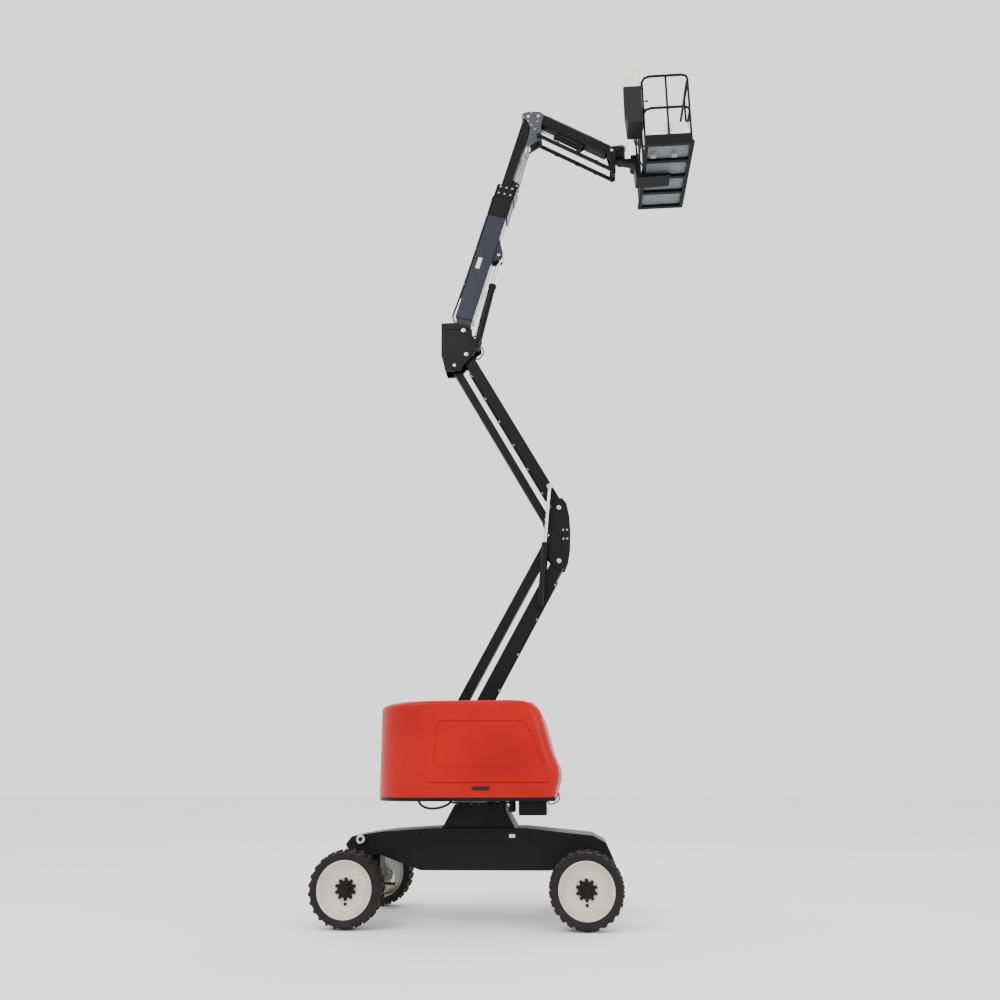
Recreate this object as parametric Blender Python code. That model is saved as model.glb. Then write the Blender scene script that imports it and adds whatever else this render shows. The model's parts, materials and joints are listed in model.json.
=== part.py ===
"""Self-propelled articulating boom lift, raised as it stands at work.

Metres, +Z up, +X from the counterweight towards the platform.  Pieces are placed
from a point on the ground midway between the axles; the empty they hang from
then puts the origin on the ground under the middle of the whole length.  Every
boom member is modelled along its own X axis and turned to its angle.
"""
import math

import bmesh
import bpy
from mathutils import Matrix, Vector

for old in list(bpy.data.objects):
    bpy.data.objects.remove(old)

# ---------------------------------------------------------------- clearances
SEAT = 0.0003          # gap between faces that rest on each other
RUN = 0.0003           # radial gap of a pin in its bore
SIDE = 0.006           # side gap between a moving member and its cheek

# ---------------------------------------------------------------- wheels, axles
WHEELBASE = 2.68
OVERALL_WIDTH = 2.30
TYRE_RADIUS = 0.42
TYRE_WIDTH = 0.32
RIM_RADIUS = 0.31
SPINDLE_RADIUS = 0.045
KINGPIN_Y = 0.78
KINGPIN_RADIUS = 0.022
STEER_ARM = 0.19       # kingpin to the steering rod, along X
STEER_ROD_RADIUS = 0.02
AXLE_HALF_HEIGHT = 0.10

# ---------------------------------------------------------------- chassis
CHASSIS_HALF_WIDTH = 0.42
CHASSIS_WALL = 0.02
CHASSIS_LOW = 0.56
CHASSIS_TOP = 1.03
PEDESTAL_TOP = 1.30
SWING_X = 0.08         # swing axis
BEARING_RADIUS = 0.34
BEARING_HEIGHT = 0.05
SWIVEL_RADIUS = 0.06

# ---------------------------------------------------------------- turntable
DECK_THICKNESS = 0.04
DECK_EDGE = 0.004          # the hoods' walls stand this far proud of the deck
TAIL_X = -1.09
HOOD_HALF_WIDTH = 1.10
HOOD_WALL = 0.012
HOOD_TOP = 2.475
HOOD_NOSE = 1.078
HOOD_NOSE_RAKE = 0.06      # the nose's lower edge lies this far back
SLOT_HALF_WIDTH = 0.24     # free space between the two hoods
TOWER_PLATE = 0.022

# ---------------------------------------------------------------- riser arms
RISER_ANGLE = math.radians(61.2)
LOWER_BASE_Z = 1.56
KNEE_LOW = (1.108, 4.339)       # lower arm's pin in the knee
KNEE_SPREAD = (0.014, 0.731)    # from there to the upper arm's pin
UPPER_ARM_LENGTH = 2.613
LOWER_LINK_OFFSET = (-0.17, 0.195)
UPPER_LINK_OFFSET = (-0.17, -0.165)
ARM_HALF_WIDTH = 0.085
LINK_HALF_WIDTH = 0.060
LOWER_ARM_HEIGHT = 0.18
LOWER_LINK_HEIGHT = 0.13
UPPER_ARM_HEIGHT = 0.155
UPPER_LINK_HEIGHT = 0.11
ARM_WALL = 0.008
RISER_PIN = 0.028
CHEEK = 0.02

RISER_CYL_RADIUS = 0.040
RISER_ROD_RADIUS = 0.022
RISER_CYL_Y = 0.168
RISER_CYL_FOOT = (-0.595, -0.040)   # on the lower arm, from its knee pin
RISER_CYL_HEAD = (0.300, 0.030)     # on the upper arm, from its knee pin
RISER_BARREL_LENGTH = 0.78
RISER_BARREL_TAIL = 0.055           # of the barrel behind its foot pin
RISER_FOLD = math.radians(63.5)     # how far the riser folds from where it stands
GLAND = 0.007                       # of a cylinder's gland beyond its barrel
BORE_START = 1.8                    # of a barrel's blind bore, in barrel radii from the foot pin

# ---------------------------------------------------------------- main boom
BOOM_PIVOT_FROM_ARM = (-0.044, 0.375)
BOOM_ANGLE = math.radians(73.5)
BOOM_HALF_WIDTH = 0.105
BOOM_LOW = -0.071
BOOM_HIGH = 0.189
BOOM_LENGTH = 2.46
BOOM_WALL = 0.010
FLY_HALF_WIDTH = 0.078
FLY_LOW = 0.020
FLY_HIGH = 0.165
FLY_WALL = 0.008
FLY_REAR = 0.42
FLY_PIVOT = (3.72, 0.095)
FLY_END = 3.60

LIFT_FOOT = (0.175, -0.215)     # on the upright, from the boom's pin
LIFT_HEAD = (1.30, -0.146)      # on the boom
LIFT_CYL_RADIUS = 0.050
LIFT_ROD_RADIUS = 0.028
LIFT_BARREL_LENGTH = 1.02
BOOM_FALL = math.radians(70.0)  # how far the boom lowers from where it stands
BOOM_RISE = math.radians(2.5)

LEVEL_FOOT = (2.525, -0.065)    # on the fly boom
LEVEL_HEAD = (0.000, -0.490)   # on the jib head, from its pin
LEVEL_CYL_RADIUS = 0.034
LEVEL_ROD_RADIUS = 0.018
LEVEL_BARREL_LENGTH = 0.62

# ---------------------------------------------------------------- jib
JIB_FROM_HEAD = (0.155, 0.0)
JIB_ANGLE = math.radians(-32.0)
JIB_LENGTH = 1.29
JIB_HALF_WIDTH = FLY_HALF_WIDTH
JIB_HEIGHT = 0.165
JIB_WALL = 0.007
JIB_LINK_DROP = 0.36
JIB_LINK_HEIGHT = 0.055
JIB_LINK_Y = 0.118
JIB_FOOT = (0.0, -0.160)        # rod's eye on the jib head, from the jib's pin
JIB_HEAD = (0.80, -0.140)       # barrel's pin on the jib arm
JIB_LUG_Y = 0.042
JIB_NECK = 0.07                 # the tube stops short of the end pin by this
JIB_CYL_RADIUS = 0.034
JIB_ROD_RADIUS = 0.018
JIB_BARREL_LENGTH = 0.43
CYLINDER_PIN = 0.016
LINK_PIN = 0.018
JIB_RISE = math.radians(100.0)
JIB_FALL = math.radians(28.0)
HEAD_PLATE = 0.018
JIB_PIN = 0.022

# ---------------------------------------------------------------- platform
PLATFORM_NEAR = 2.455          # edge at the boom side
PLATFORM_DEPTH = 0.70
PLATFORM_WIDTH = 1.55
FLOOR_TOP = 10.27
RAIL_HEIGHT = 1.10
RAIL_RADIUS = 0.019
RAIL_CORNER = 0.10
ROTATOR_X = 2.165
ROTATOR_RADIUS = 0.070
SHAFT_RADIUS = 0.045
GATE_WIDTH = 0.48
CONSOLE_Y = (-0.72, -0.34)

MIDDLE_X = (PLATFORM_NEAR + PLATFORM_DEPTH - WHEELBASE / 2 - TYRE_RADIUS) / 2   # of the whole length

# ---------------------------------------------------------------- derived pins
COS_R, SIN_R = math.cos(RISER_ANGLE), math.sin(RISER_ANGLE)
COS_B, SIN_B = math.cos(BOOM_ANGLE), math.sin(BOOM_ANGLE)
LOWER_ARM_LENGTH = (KNEE_LOW[1] - LOWER_BASE_Z) / SIN_R
LOWER_BASE = (KNEE_LOW[0] - LOWER_ARM_LENGTH * COS_R, LOWER_BASE_Z)
KNEE_HIGH = (KNEE_LOW[0] + KNEE_SPREAD[0], KNEE_LOW[1] + KNEE_SPREAD[1])
UPRIGHT_PIN = (KNEE_HIGH[0] - UPPER_ARM_LENGTH * COS_R, KNEE_HIGH[1] + UPPER_ARM_LENGTH * SIN_R)
BOOM_PIN = (UPRIGHT_PIN[0] + BOOM_PIVOT_FROM_ARM[0], UPRIGHT_PIN[1] + BOOM_PIVOT_FROM_ARM[1])


def moved(point, offset):
    """A point in the side view, shifted by an offset."""
    return (point[0] + offset[0], point[1] + offset[1])


def along(pin, angle, offset):
    """World side-view point of a member's own point, from its pin and angle."""
    c, s = math.cos(angle), math.sin(angle)
    return (pin[0] + offset[0] * c - offset[1] * s, pin[1] + offset[0] * s + offset[1] * c)


LOWER_LINK_BASE = moved(LOWER_BASE, LOWER_LINK_OFFSET)
LOWER_LINK_TOP = moved(KNEE_LOW, LOWER_LINK_OFFSET)
UPPER_LINK_BASE = moved(KNEE_HIGH, UPPER_LINK_OFFSET)
UPPER_LINK_TOP = moved(UPRIGHT_PIN, UPPER_LINK_OFFSET)
UPPER_ANGLE = math.pi - RISER_ANGLE
RISER_FOOT = along(KNEE_LOW, RISER_ANGLE, RISER_CYL_FOOT)
RISER_HEAD = along(KNEE_HIGH, UPPER_ANGLE, (RISER_CYL_HEAD[0], -RISER_CYL_HEAD[1]))
LIFT_FOOT_PIN = moved(BOOM_PIN, LIFT_FOOT)
LIFT_HEAD_PIN = along(BOOM_PIN, BOOM_ANGLE, LIFT_HEAD)
HEAD_PIN = along(BOOM_PIN, BOOM_ANGLE, FLY_PIVOT)
LEVEL_FOOT_PIN = along(BOOM_PIN, BOOM_ANGLE, LEVEL_FOOT)
LEVEL_HEAD_PIN = moved(HEAD_PIN, LEVEL_HEAD)
JIB_PIVOT = moved(HEAD_PIN, JIB_FROM_HEAD)
JIB_END_PIN = along(JIB_PIVOT, JIB_ANGLE, (JIB_LENGTH, 0.0))
JIB_LINK_PIN = moved(JIB_PIVOT, (0.0, -JIB_LINK_DROP))
JIB_FOOT_PIN = moved(JIB_PIVOT, JIB_FOOT)
JIB_HEAD_PIN = along(JIB_PIVOT, JIB_ANGLE, JIB_HEAD)


# ---------------------------------------------------------------- materials
def paint(name, colour, roughness, metallic=0.0):
    """A Principled material with its own colour, roughness and metallic value."""
    made = bpy.data.materials.new(name)
    made.use_nodes = True
    shader = made.node_tree.nodes["Principled BSDF"]
    shader.inputs["Base Color"].default_value = (*colour, 1.0)
    shader.inputs["Roughness"].default_value = roughness
    shader.inputs["Metallic"].default_value = metallic
    made.diffuse_color = (*colour, 1.0)
    return made


RED = ("hood_red", (0.70, 0.013, 0.010), 0.35)
BLACK = ("frame_black", (0.020, 0.020, 0.023), 0.45)
BLUE_GREY = ("boom_blue_grey", (0.048, 0.060, 0.085), 0.45)
GREY = ("light_grey_paint", (0.55, 0.56, 0.56), 0.40)
CREAM = ("rim_cream", (0.66, 0.65, 0.58), 0.45)
TYRE = ("tyre_rubber", (0.022, 0.022, 0.022), 0.85)
CHROME = ("chrome_rod", (0.75, 0.76, 0.78), 0.12, 1.0)
STEEL = ("bare_steel", (0.35, 0.35, 0.36), 0.35, 1.0)
ENGINE = ("engine_grey", (0.10, 0.10, 0.11), 0.55)


# ---------------------------------------------------------------- shapes
def block(x, y, z):
    """A box from three (low, high) pairs."""
    bm = bmesh.new()
    bmesh.ops.create_cube(bm, size=1.0)
    low = Vector((x[0], y[0], z[0]))
    span = Vector((x[1], y[1], z[1])) - low
    for vertex in bm.verts:
        vertex.co = Vector(low[i] + (vertex.co[i] + 0.5) * span[i] for i in range(3))
    return bm


def slab(outline, y):
    """A side-view outline of (x, z) points, extruded across from y[0] to y[1]."""
    bm = bmesh.new()
    face = bm.faces.new([bm.verts.new((x, y[0], z)) for x, z in outline])
    grown = bmesh.ops.extrude_face_region(bm, geom=[face])
    verts = [item for item in grown["geom"] if isinstance(item, bmesh.types.BMVert)]
    bmesh.ops.translate(bm, verts=verts, vec=(0.0, y[1] - y[0], 0.0))
    bmesh.ops.recalc_face_normals(bm, faces=bm.faces)
    return bm


def plate(outline, z):
    """A plan-view outline of (x, y) points, extruded up from z[0] to z[1]."""
    bm = bmesh.new()
    face = bm.faces.new([bm.verts.new((x, y, z[0])) for x, y in outline])
    grown = bmesh.ops.extrude_face_region(bm, geom=[face])
    verts = [item for item in grown["geom"] if isinstance(item, bmesh.types.BMVert)]
    bmesh.ops.translate(bm, verts=verts, vec=(0.0, 0.0, z[1] - z[0]))
    bmesh.ops.recalc_face_normals(bm, faces=bm.faces)
    return bm


def bar(start, end, radius, sides=12):
    """A round bar between two points."""
    start, end = Vector(start), Vector(end)
    run = end - start
    turn = Vector((0.0, 0.0, 1.0)).rotation_difference(run.normalized()).to_matrix().to_4x4()
    bm = bmesh.new()
    bmesh.ops.create_cone(bm, cap_ends=True, segments=sides, radius1=radius, radius2=radius,
                          depth=run.length, matrix=Matrix.Translation((start + end) / 2) @ turn)
    return bm


def cross_bar(at, half_width, radius, sides=16):
    """A round bar across the machine, centred on a side-view point."""
    return bar((at[0], -half_width, at[1]), (at[0], half_width, at[1]), radius, sides)


def hole(start, end, radius, sides=12):
    """A cutter whose flats, not its corners, lie at the radius, so a round bar turns in it."""
    return bar(start, end, radius / math.cos(math.pi / sides), sides)


def cross_hole(at, half_width, radius, sides=16):
    """A cutter across the machine, centred on a side-view point."""
    return hole((at[0], -half_width, at[1]), (at[0], half_width, at[1]), radius, sides)


def turned(profile, sides=28):
    """A profile of (radius, y) points turned about the Y axis."""
    bm = bmesh.new()
    verts = [bm.verts.new((radius, y, 0.0)) for radius, y in profile]
    edges = [bm.edges.new((verts[i], verts[(i + 1) % len(verts)])) for i in range(len(verts))]
    bmesh.ops.spin(bm, geom=verts + edges, cent=(0, 0, 0), axis=(0, 1, 0),
                   angle=math.tau, steps=sides, use_merge=True)
    bmesh.ops.remove_doubles(bm, verts=bm.verts, dist=0.00005)
    bmesh.ops.recalc_face_normals(bm, faces=bm.faces)
    return bm


def ring_tube(path, radius, sides=8):
    """A round tube along a closed level path, with a corner of its section facing out."""
    points = [Vector(p) for p in path]
    count = len(points)
    bm = bmesh.new()
    rings = []
    for i, point in enumerate(points):
        forward = (points[(i + 1) % count] - points[i - 1]).normalized()
        side = forward.cross(Vector((0.0, 0.0, 1.0)))
        ring = []
        for k in range(sides):
            turn = math.tau * k / sides
            offset = side * math.cos(turn) + Vector((0.0, 0.0, math.sin(turn)))
            ring.append(bm.verts.new(point + offset * radius))
        rings.append(ring)
    for i in range(count):
        one, two = rings[i], rings[(i + 1) % count]
        for k in range(sides):
            bm.faces.new((one[k], one[(k + 1) % sides], two[(k + 1) % sides], two[k]))
    bmesh.ops.recalc_face_normals(bm, faces=bm.faces)
    return bm


def arc(centre, radius, start, end, steps):
    """Points on an arc, angles in degrees."""
    points = []
    for i in range(steps + 1):
        turn = math.radians(start + (end - start) * i / steps)
        points.append((centre[0] + radius * math.cos(turn), centre[1] + radius * math.sin(turn)))
    return points


def loop_path(x, y, z, corner, steps=2):
    """A level rounded rectangle as a closed path."""
    corners = (((x[1] - corner, y[1] - corner), 0), ((x[0] + corner, y[1] - corner), 90),
               ((x[0] + corner, y[0] + corner), 180), ((x[1] - corner, y[0] + corner), 270))
    path = []
    for centre, start in corners:
        path += [(px, py, z) for px, py in arc(centre, corner, start, start + 90, steps)]
    return path


# ---------------------------------------------------------------- pieces
def place_of(pin, angle=0.0, y=0.0):
    """Location on a joint's axis, turned by the member's angle in the side view."""
    return Matrix.Translation((pin[0], y, pin[1])) @ Matrix.Rotation(-angle, 4, "Y")


def add_object(name, bm, place):
    """A mesh object made from a shape, at its place."""
    mesh = bpy.data.meshes.new(name)
    bm.to_mesh(mesh)
    bm.free()
    made = bpy.data.objects.new(name, mesh)
    bpy.context.scene.collection.objects.link(made)
    made.matrix_world = place
    return made


def tool(name, bm, place):
    """A hidden object that others are joined with or cut by."""
    made = add_object(name, bm, place)
    made.hide_render = True
    made.display_type = "WIRE"
    return made


def combine(owner, operation, other):
    """A Boolean step of the owner with another object."""
    step = owner.modifiers.new(operation.lower(), "BOOLEAN")
    step.operation = operation
    step.solver = "EXACT"
    step.object = other


def piece(name, look, adds, cuts=(), place=None, parts=(), origin=None):
    """One closed solid: the first shape, joined with the parts and the other shapes, less the cuts.

    The shapes are in the piece's own frame, or in the machine's where an origin is given.
    """
    place = place or Matrix.Identity(4)
    if origin:
        place = Matrix.Translation(origin)
        for shape in [*adds, *cuts]:
            bmesh.ops.transform(shape, matrix=place.inverted(), verts=shape.verts)
    body = add_object(name, adds[0], place)
    body.data.materials.append(paint(name, *look[1:]))
    for part in parts:
        combine(body, "UNION", part)
    for number, shape in enumerate(adds[1:]):
        combine(body, "UNION", tool(f"{name}_add_{number}", shape, place))
    for number, shape in enumerate(cuts):
        combine(body, "DIFFERENCE", tool(f"{name}_cut_{number}", shape, place))
    body.data.shade_smooth()
    body.data.set_sharp_from_angle(angle=math.radians(30.0))
    return body


# ---------------------------------------------------------------- chassis
REAR_X = -WHEELBASE / 2
FRONT_X = WHEELBASE / 2
WHEEL_Y = OVERALL_WIDTH / 2 - TYRE_WIDTH / 2
BEARING_LOW = PEDESTAL_TOP + SEAT
BEARING_TOP = BEARING_LOW + BEARING_HEIGHT
DECK_LOW = BEARING_TOP + SEAT
DECK_TOP = DECK_LOW + DECK_THICKNESS
FRONT_SEAT_Z = CHASSIS_LOW + 0.05                    # flat the fixed axle bolts to
REAR_SEAT = ((REAR_X - 0.12, CHASSIS_TOP - 0.27), (REAR_X + 0.26, CHASSIS_TOP - 0.30))


def chassis():
    """Welded box frame, open below, with the pedestal that carries the swing bearing."""
    hull = [(-0.60, CHASSIS_LOW), (FRONT_X - 0.42, CHASSIS_LOW), (FRONT_X - 0.22, FRONT_SEAT_Z),
            (FRONT_X + 0.24, FRONT_SEAT_Z), (FRONT_X + 0.32, CHASSIS_LOW + 0.16),
            (FRONT_X + 0.25, CHASSIS_LOW + 0.31), (FRONT_X + 0.10, CHASSIS_TOP - 0.08),
            (FRONT_X - 0.09, CHASSIS_TOP - 0.06), (SWING_X + 0.56, CHASSIS_TOP),
            (SWING_X - 0.54, CHASSIS_TOP), (REAR_X + 0.28, CHASSIS_TOP - 0.035),
            (REAR_X - 0.10, CHASSIS_TOP - 0.09), (REAR_X - 0.17, CHASSIS_TOP - 0.18),
            REAR_SEAT[0], REAR_SEAT[1]]
    pedestal = [(SWING_X - 0.45, CHASSIS_TOP - 0.02), (SWING_X + 0.45, CHASSIS_TOP - 0.02),
                (SWING_X + 0.29, PEDESTAL_TOP), (SWING_X - 0.29, PEDESTAL_TOP)]
    inner = CHASSIS_HALF_WIDTH - CHASSIS_WALL
    pocket_top = CHASSIS_TOP - 0.10
    rib = 0.012
    pockets = []
    for low, high in ((REAR_X + 0.42, -0.40), (-0.40 + rib, 0.50), (0.50 + rib, FRONT_X - 0.26)):
        pockets.append(block((low, high), (-inner, inner), (CHASSIS_LOW - 0.1, pocket_top)))
    piece("chassis_frame", BLACK,
          [slab(hull, (-CHASSIS_HALF_WIDTH, CHASSIS_HALF_WIDTH)), slab(pedestal, (-0.37, 0.37)),
           cross_bar((REAR_X + 0.02, CHASSIS_TOP - 0.12), CHASSIS_HALF_WIDTH + 0.06, 0.045, 20)],
          pockets)


def fixed_axle():
    """Drive axle under the front of the frame, with a motor housing at each wheel."""
    z = TYRE_RADIUS
    inner_face = OVERALL_WIDTH / 2 - TYRE_WIDTH
    adds = [block((FRONT_X - 0.09, FRONT_X + 0.09), (-0.72, 0.72), (z - AXLE_HALF_HEIGHT, z + AXLE_HALF_HEIGHT)),
            block((FRONT_X - 0.16, FRONT_X + 0.16), (-0.34, 0.34), (z, FRONT_SEAT_Z - SEAT))]
    for side in (-1, 1):
        adds.append(bar((FRONT_X, side * 0.70, z), (FRONT_X, side * (inner_face + 0.055), z), 0.135, 18))
        adds.append(bar((FRONT_X, side * 0.80, z), (FRONT_X, side * (WHEEL_Y + 0.07), z), SPINDLE_RADIUS, 14))
    piece("fixed_axle", BLACK, adds)


def steer_axle():
    """Oscillating steer axle with its pivot block and the steering cylinder's barrel."""
    z = TYRE_RADIUS
    rod_x = REAR_X + STEER_ARM
    low, high = REAR_SEAT
    adds = [block((REAR_X - 0.08, REAR_X + 0.08), (-KINGPIN_Y, KINGPIN_Y), (z - 0.09, z + 0.09)),
            slab([(low[0], z), (high[0] - 0.06, z), (high[0] - 0.06, high[1]), (low[0], low[1])], (-0.15, 0.15)),
            block((REAR_X, rod_x), (-0.20, 0.20), (z - 0.03, z + 0.03)),
            bar((rod_x, -0.30, z), (rod_x, 0.30, z), 0.05, 14)]
    bores = [hole((rod_x, -0.40, z), (rod_x, 0.40, z), STEER_ROD_RADIUS + RUN, 14)]
    for side in (-1, 1):
        y = side * KINGPIN_Y
        adds.append(bar((REAR_X, y, z - 0.10), (REAR_X, y, z + 0.10), 0.06, 14))
        bores.append(hole((REAR_X, y, z - 0.2), (REAR_X, y, z + 0.2), KINGPIN_RADIUS + RUN, 14))
    margin = 0.1
    above = slab([(low[0] - margin, low[1] - SEAT), (low[0], low[1] - SEAT), (high[0], high[1] - SEAT),
                  (high[0] + margin, high[1] - SEAT), (high[0] + margin, CHASSIS_TOP),
                  (low[0] - margin, CHASSIS_TOP)], (-0.3, 0.3))
    piece("steer_axle", BLACK, adds, bores + [above])


def knuckle(name, side):
    """Steering knuckle: a fork over the kingpin boss, the wheel spindle and the arm."""
    z = TYRE_RADIUS
    place = Matrix.Translation((REAR_X, side * KINGPIN_Y, 0.0))

    def across(low, high):
        return (side * low, side * high) if side > 0 else (side * high, side * low)

    adds = [block((-0.06, 0.06), across(0.065, 0.10), (z - 0.145, z + 0.145)),
            block((-0.06, 0.06), across(-0.05, 0.085), (z + 0.1015, z + 0.145)),
            block((-0.06, 0.06), across(-0.05, 0.085), (z - 0.145, z - 0.1015)),
            bar((0, 0, z - 0.12), (0, 0, z + 0.12), KINGPIN_RADIUS, 14),
            bar((0, side * 0.08, z), (0, side * (WHEEL_Y + 0.07 - KINGPIN_Y), z), SPINDLE_RADIUS, 14),
            block((0.03, STEER_ARM + 0.03), across(-0.05, 0.0), (z - 0.14, z - 0.112))]
    piece(name, BLACK, adds, place=place)


def steer_rod():
    """Double-ended steering cylinder rod, with a ball housing under each arm."""
    z = TYRE_RADIUS
    x = REAR_X + STEER_ARM
    reach = KINGPIN_Y - 0.03
    adds = [bar((x, -reach, z), (x, reach, z), STEER_ROD_RADIUS, 14)]
    for side in (-1, 1):
        y = side * (KINGPIN_Y - 0.03)
        adds.append(bar((x, y, z - 0.112 + SEAT), (x, y, z + 0.03), 0.026, 12))
    piece("steer_rod", CHROME, adds)


def wheel(name, x, side):
    """Dished rim with its hub, and the tyre round it."""
    place = Matrix.Translation((x, side * WHEEL_Y, TYRE_RADIUS))
    half = TYRE_WIDTH / 2

    def profile(points):
        return [(radius, side * (y - half)) for radius, y in points]

    rim = profile([(0.0, 0.275), (0.088, 0.270), (0.098, 0.212), (0.225, 0.218), (0.262, 0.215),
                   (0.290, 0.300), (RIM_RADIUS - SEAT, 0.300), (RIM_RADIUS - SEAT, 0.020), (0.298, 0.020),
                   (0.276, 0.180), (0.098, 0.180), (0.098, 0.090), (SPINDLE_RADIUS + RUN, 0.090),
                   (SPINDLE_RADIUS + RUN, half + 0.071), (0.0, half + 0.071)])
    piece(f"rim_{name}", CREAM, [turned(rim)], place=place)
    bead = RIM_RADIUS
    tread = TYRE_RADIUS
    tyre = profile([(bead, 0.012), (0.355, 0.0), (0.402, 0.016), (tread, 0.050),
                    (tread, 0.270), (0.402, 0.304), (0.355, TYRE_WIDTH), (bead, 0.308)])
    piece(f"tyre_{name}", TYRE, [turned(tyre)], place=place)


def swing_bearing():
    """Slewing ring, bored for the hydraulic swivel."""
    ring = bar((SWING_X, 0, BEARING_LOW), (SWING_X, 0, BEARING_TOP), BEARING_RADIUS, 28)
    bore = bar((SWING_X, 0, BEARING_LOW - 0.1), (SWING_X, 0, BEARING_TOP + 0.1), SWIVEL_RADIUS, 16)
    piece("swing_bearing", STEEL, [ring], [bore])


# ---------------------------------------------------------------- turntable
def tail_outline(inset, y_inner=0.0, side=1):
    """Half of the hoods' plan: square at the slot, rounded at the tail and the nose."""
    outer = HOOD_HALF_WIDTH - inset
    rear = TAIL_X + inset
    front = HOOD_NOSE - inset
    big, small = 0.62 - inset, 0.20 - inset
    points = [(front, y_inner)]
    points += arc((front - small, outer - small), small, 0, 90, 4)
    points += arc((rear + big, outer - big), big, 90, 180, 8)
    points.append((rear, y_inner))
    return [(x, side * y) for x, y in points]


def side_outline(inset, bottom):
    """The hood's side view: raked nose that bulges low down, soft tail top."""
    top = HOOD_TOP - inset
    nose = HOOD_NOSE - inset
    return [(TAIL_X + inset, bottom), (TAIL_X + inset, top - 0.075), (TAIL_X + 0.03 + inset, top - 0.03),
            (TAIL_X + 0.12, top), (HOOD_NOSE - 0.42, top), (nose - 0.32, top - 0.025),
            (nose - 0.235, top - 0.09), (nose - 0.20, top - 0.16), (nose - 0.085, top - 0.59),
            (nose - 0.012, top - 0.75), (nose, top - 0.845), (nose - 0.02, top - 0.94),
            (nose - HOOD_NOSE_RAKE, bottom)]


def hood(name, side):
    """Gull-wing cover over one side of the turntable, open below and to the slot."""
    bottom = DECK_TOP + SEAT
    inner = SLOT_HALF_WIDTH
    hinge = (0.0, side * inner, HOOD_TOP)
    still = Matrix.Identity(4)

    def across(low, high):
        return sorted((side * low, side * high))

    wide = HOOD_HALF_WIDTH + 0.1
    core = tool(f"{name}_core", slab(side_outline(HOOD_WALL, bottom - 0.1), across(inner - 0.1, wide)), still)
    core_plan = plate(tail_outline(HOOD_WALL, inner - 0.2, side), (1.0, 3.0))
    combine(core, "INTERSECT", tool(f"{name}_core_plan", core_plan, still))
    shell = piece(name, RED, [slab(side_outline(0.0, bottom), across(inner, wide))], origin=hinge)
    plan = plate(tail_outline(0.0, inner - 0.2, side), (1.0, 3.0))
    combine(shell, "INTERSECT", tool(f"{name}_plan", plan, still))
    combine(shell, "DIFFERENCE", core)


def turntable():
    """Deck on the bearing, tower plates beside the slot, and the arms' base pins."""
    half = SLOT_HALF_WIDTH - 0.015
    inner = half - TOWER_PLATE
    plan = tail_outline(DECK_EDGE) + tail_outline(DECK_EDGE, side=-1)[::-1][1:-1]
    front = HOOD_NOSE - HOOD_NOSE_RAKE - DECK_EDGE
    rear = -0.98
    tower = [(rear, DECK_TOP - 0.02), (0.86, DECK_TOP - 0.02), (0.86, 1.62), (0.30, 1.98),
             (-0.20, 2.32), (rear, 2.32)]
    adds = [plate(plan, (DECK_LOW, DECK_TOP)),
            block((rear, rear + 0.03), (-inner - 0.01, inner + 0.01), (DECK_TOP - 0.02, 2.20))]
    for side in (-1, 1):
        adds.append(slab(tower, sorted((side * inner, side * half))))
    for pin, member in ((LOWER_BASE, ARM_HALF_WIDTH), (LOWER_LINK_BASE, LINK_HALF_WIDTH)):
        adds.append(cross_bar(pin, inner + 0.01, RISER_PIN))
        for side in (-1, 1):
            adds.append(bar((pin[0], side * (member + SIDE), pin[1]), (pin[0], side * (inner + 0.01), pin[1]),
                            RISER_PIN + 0.022, 14))
    beyond = block((front, front + 0.2), (-2.0, 2.0), (DECK_LOW - 0.1, DECK_TOP + 0.1))
    piece("turntable_frame", BLACK, adds, [beyond], origin=(SWING_X, 0.0, 0.0))


def turntable_masses():
    """Counterweight at the tail, the engine block, and the power tray under the nose."""
    inner = SLOT_HALF_WIDTH + 0.02
    low = DECK_TOP + SEAT
    plan = [(TAIL_X + 0.06 + x, y) for x, y in ((0.32, 0.93), (0.32, -0.93), (0.20, -0.88), (0.06, -0.72),
                                               (0.0, -0.50), (0.0, 0.50), (0.06, 0.72), (0.20, 0.88))]
    slot = block((TAIL_X + 0.10, TAIL_X + 1.0), (-inner, inner), (low - 0.1, 2.2))
    piece("counterweight", BLACK, [plate(plan, (low, 1.95))], [slot])
    piece("engine_block", ENGINE, [block((-0.35, 0.30), (0.34, 0.90), (low, 1.98))])
    piece("power_tray", BLACK, [block((0.59, 0.91), (-0.86, -0.52), (DECK_LOW - 0.16, DECK_LOW - SEAT))])


# ---------------------------------------------------------------- riser
def box_arm(name, pin, angle, length, height, half_width, bosses, wall=ARM_WALL, extra=(), cuts=()):
    """A welded box tube from its pin, with a bored cross tube at each boss (s, z, radius, bore)."""
    z = height / 2
    place = place_of(pin, angle)
    tube = tool(f"{name}_tube", block((0.0, length), (-half_width, half_width), (-z, z)), place)
    hollow = block((-0.1, length + 0.1), (-half_width + wall, half_width - wall), (-z + wall, z - wall))
    combine(tube, "DIFFERENCE", tool(f"{name}_hollow", hollow, place))
    rings = [cross_bar((s, dz), half_width, radius) for s, dz, radius, bore in bosses]
    bores = [cross_hole((s, dz), half_width + 0.1, bore) for s, dz, radius, bore in bosses]
    piece(name, BLACK, rings + list(extra), bores + list(cuts), place, parts=[tube])


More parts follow.
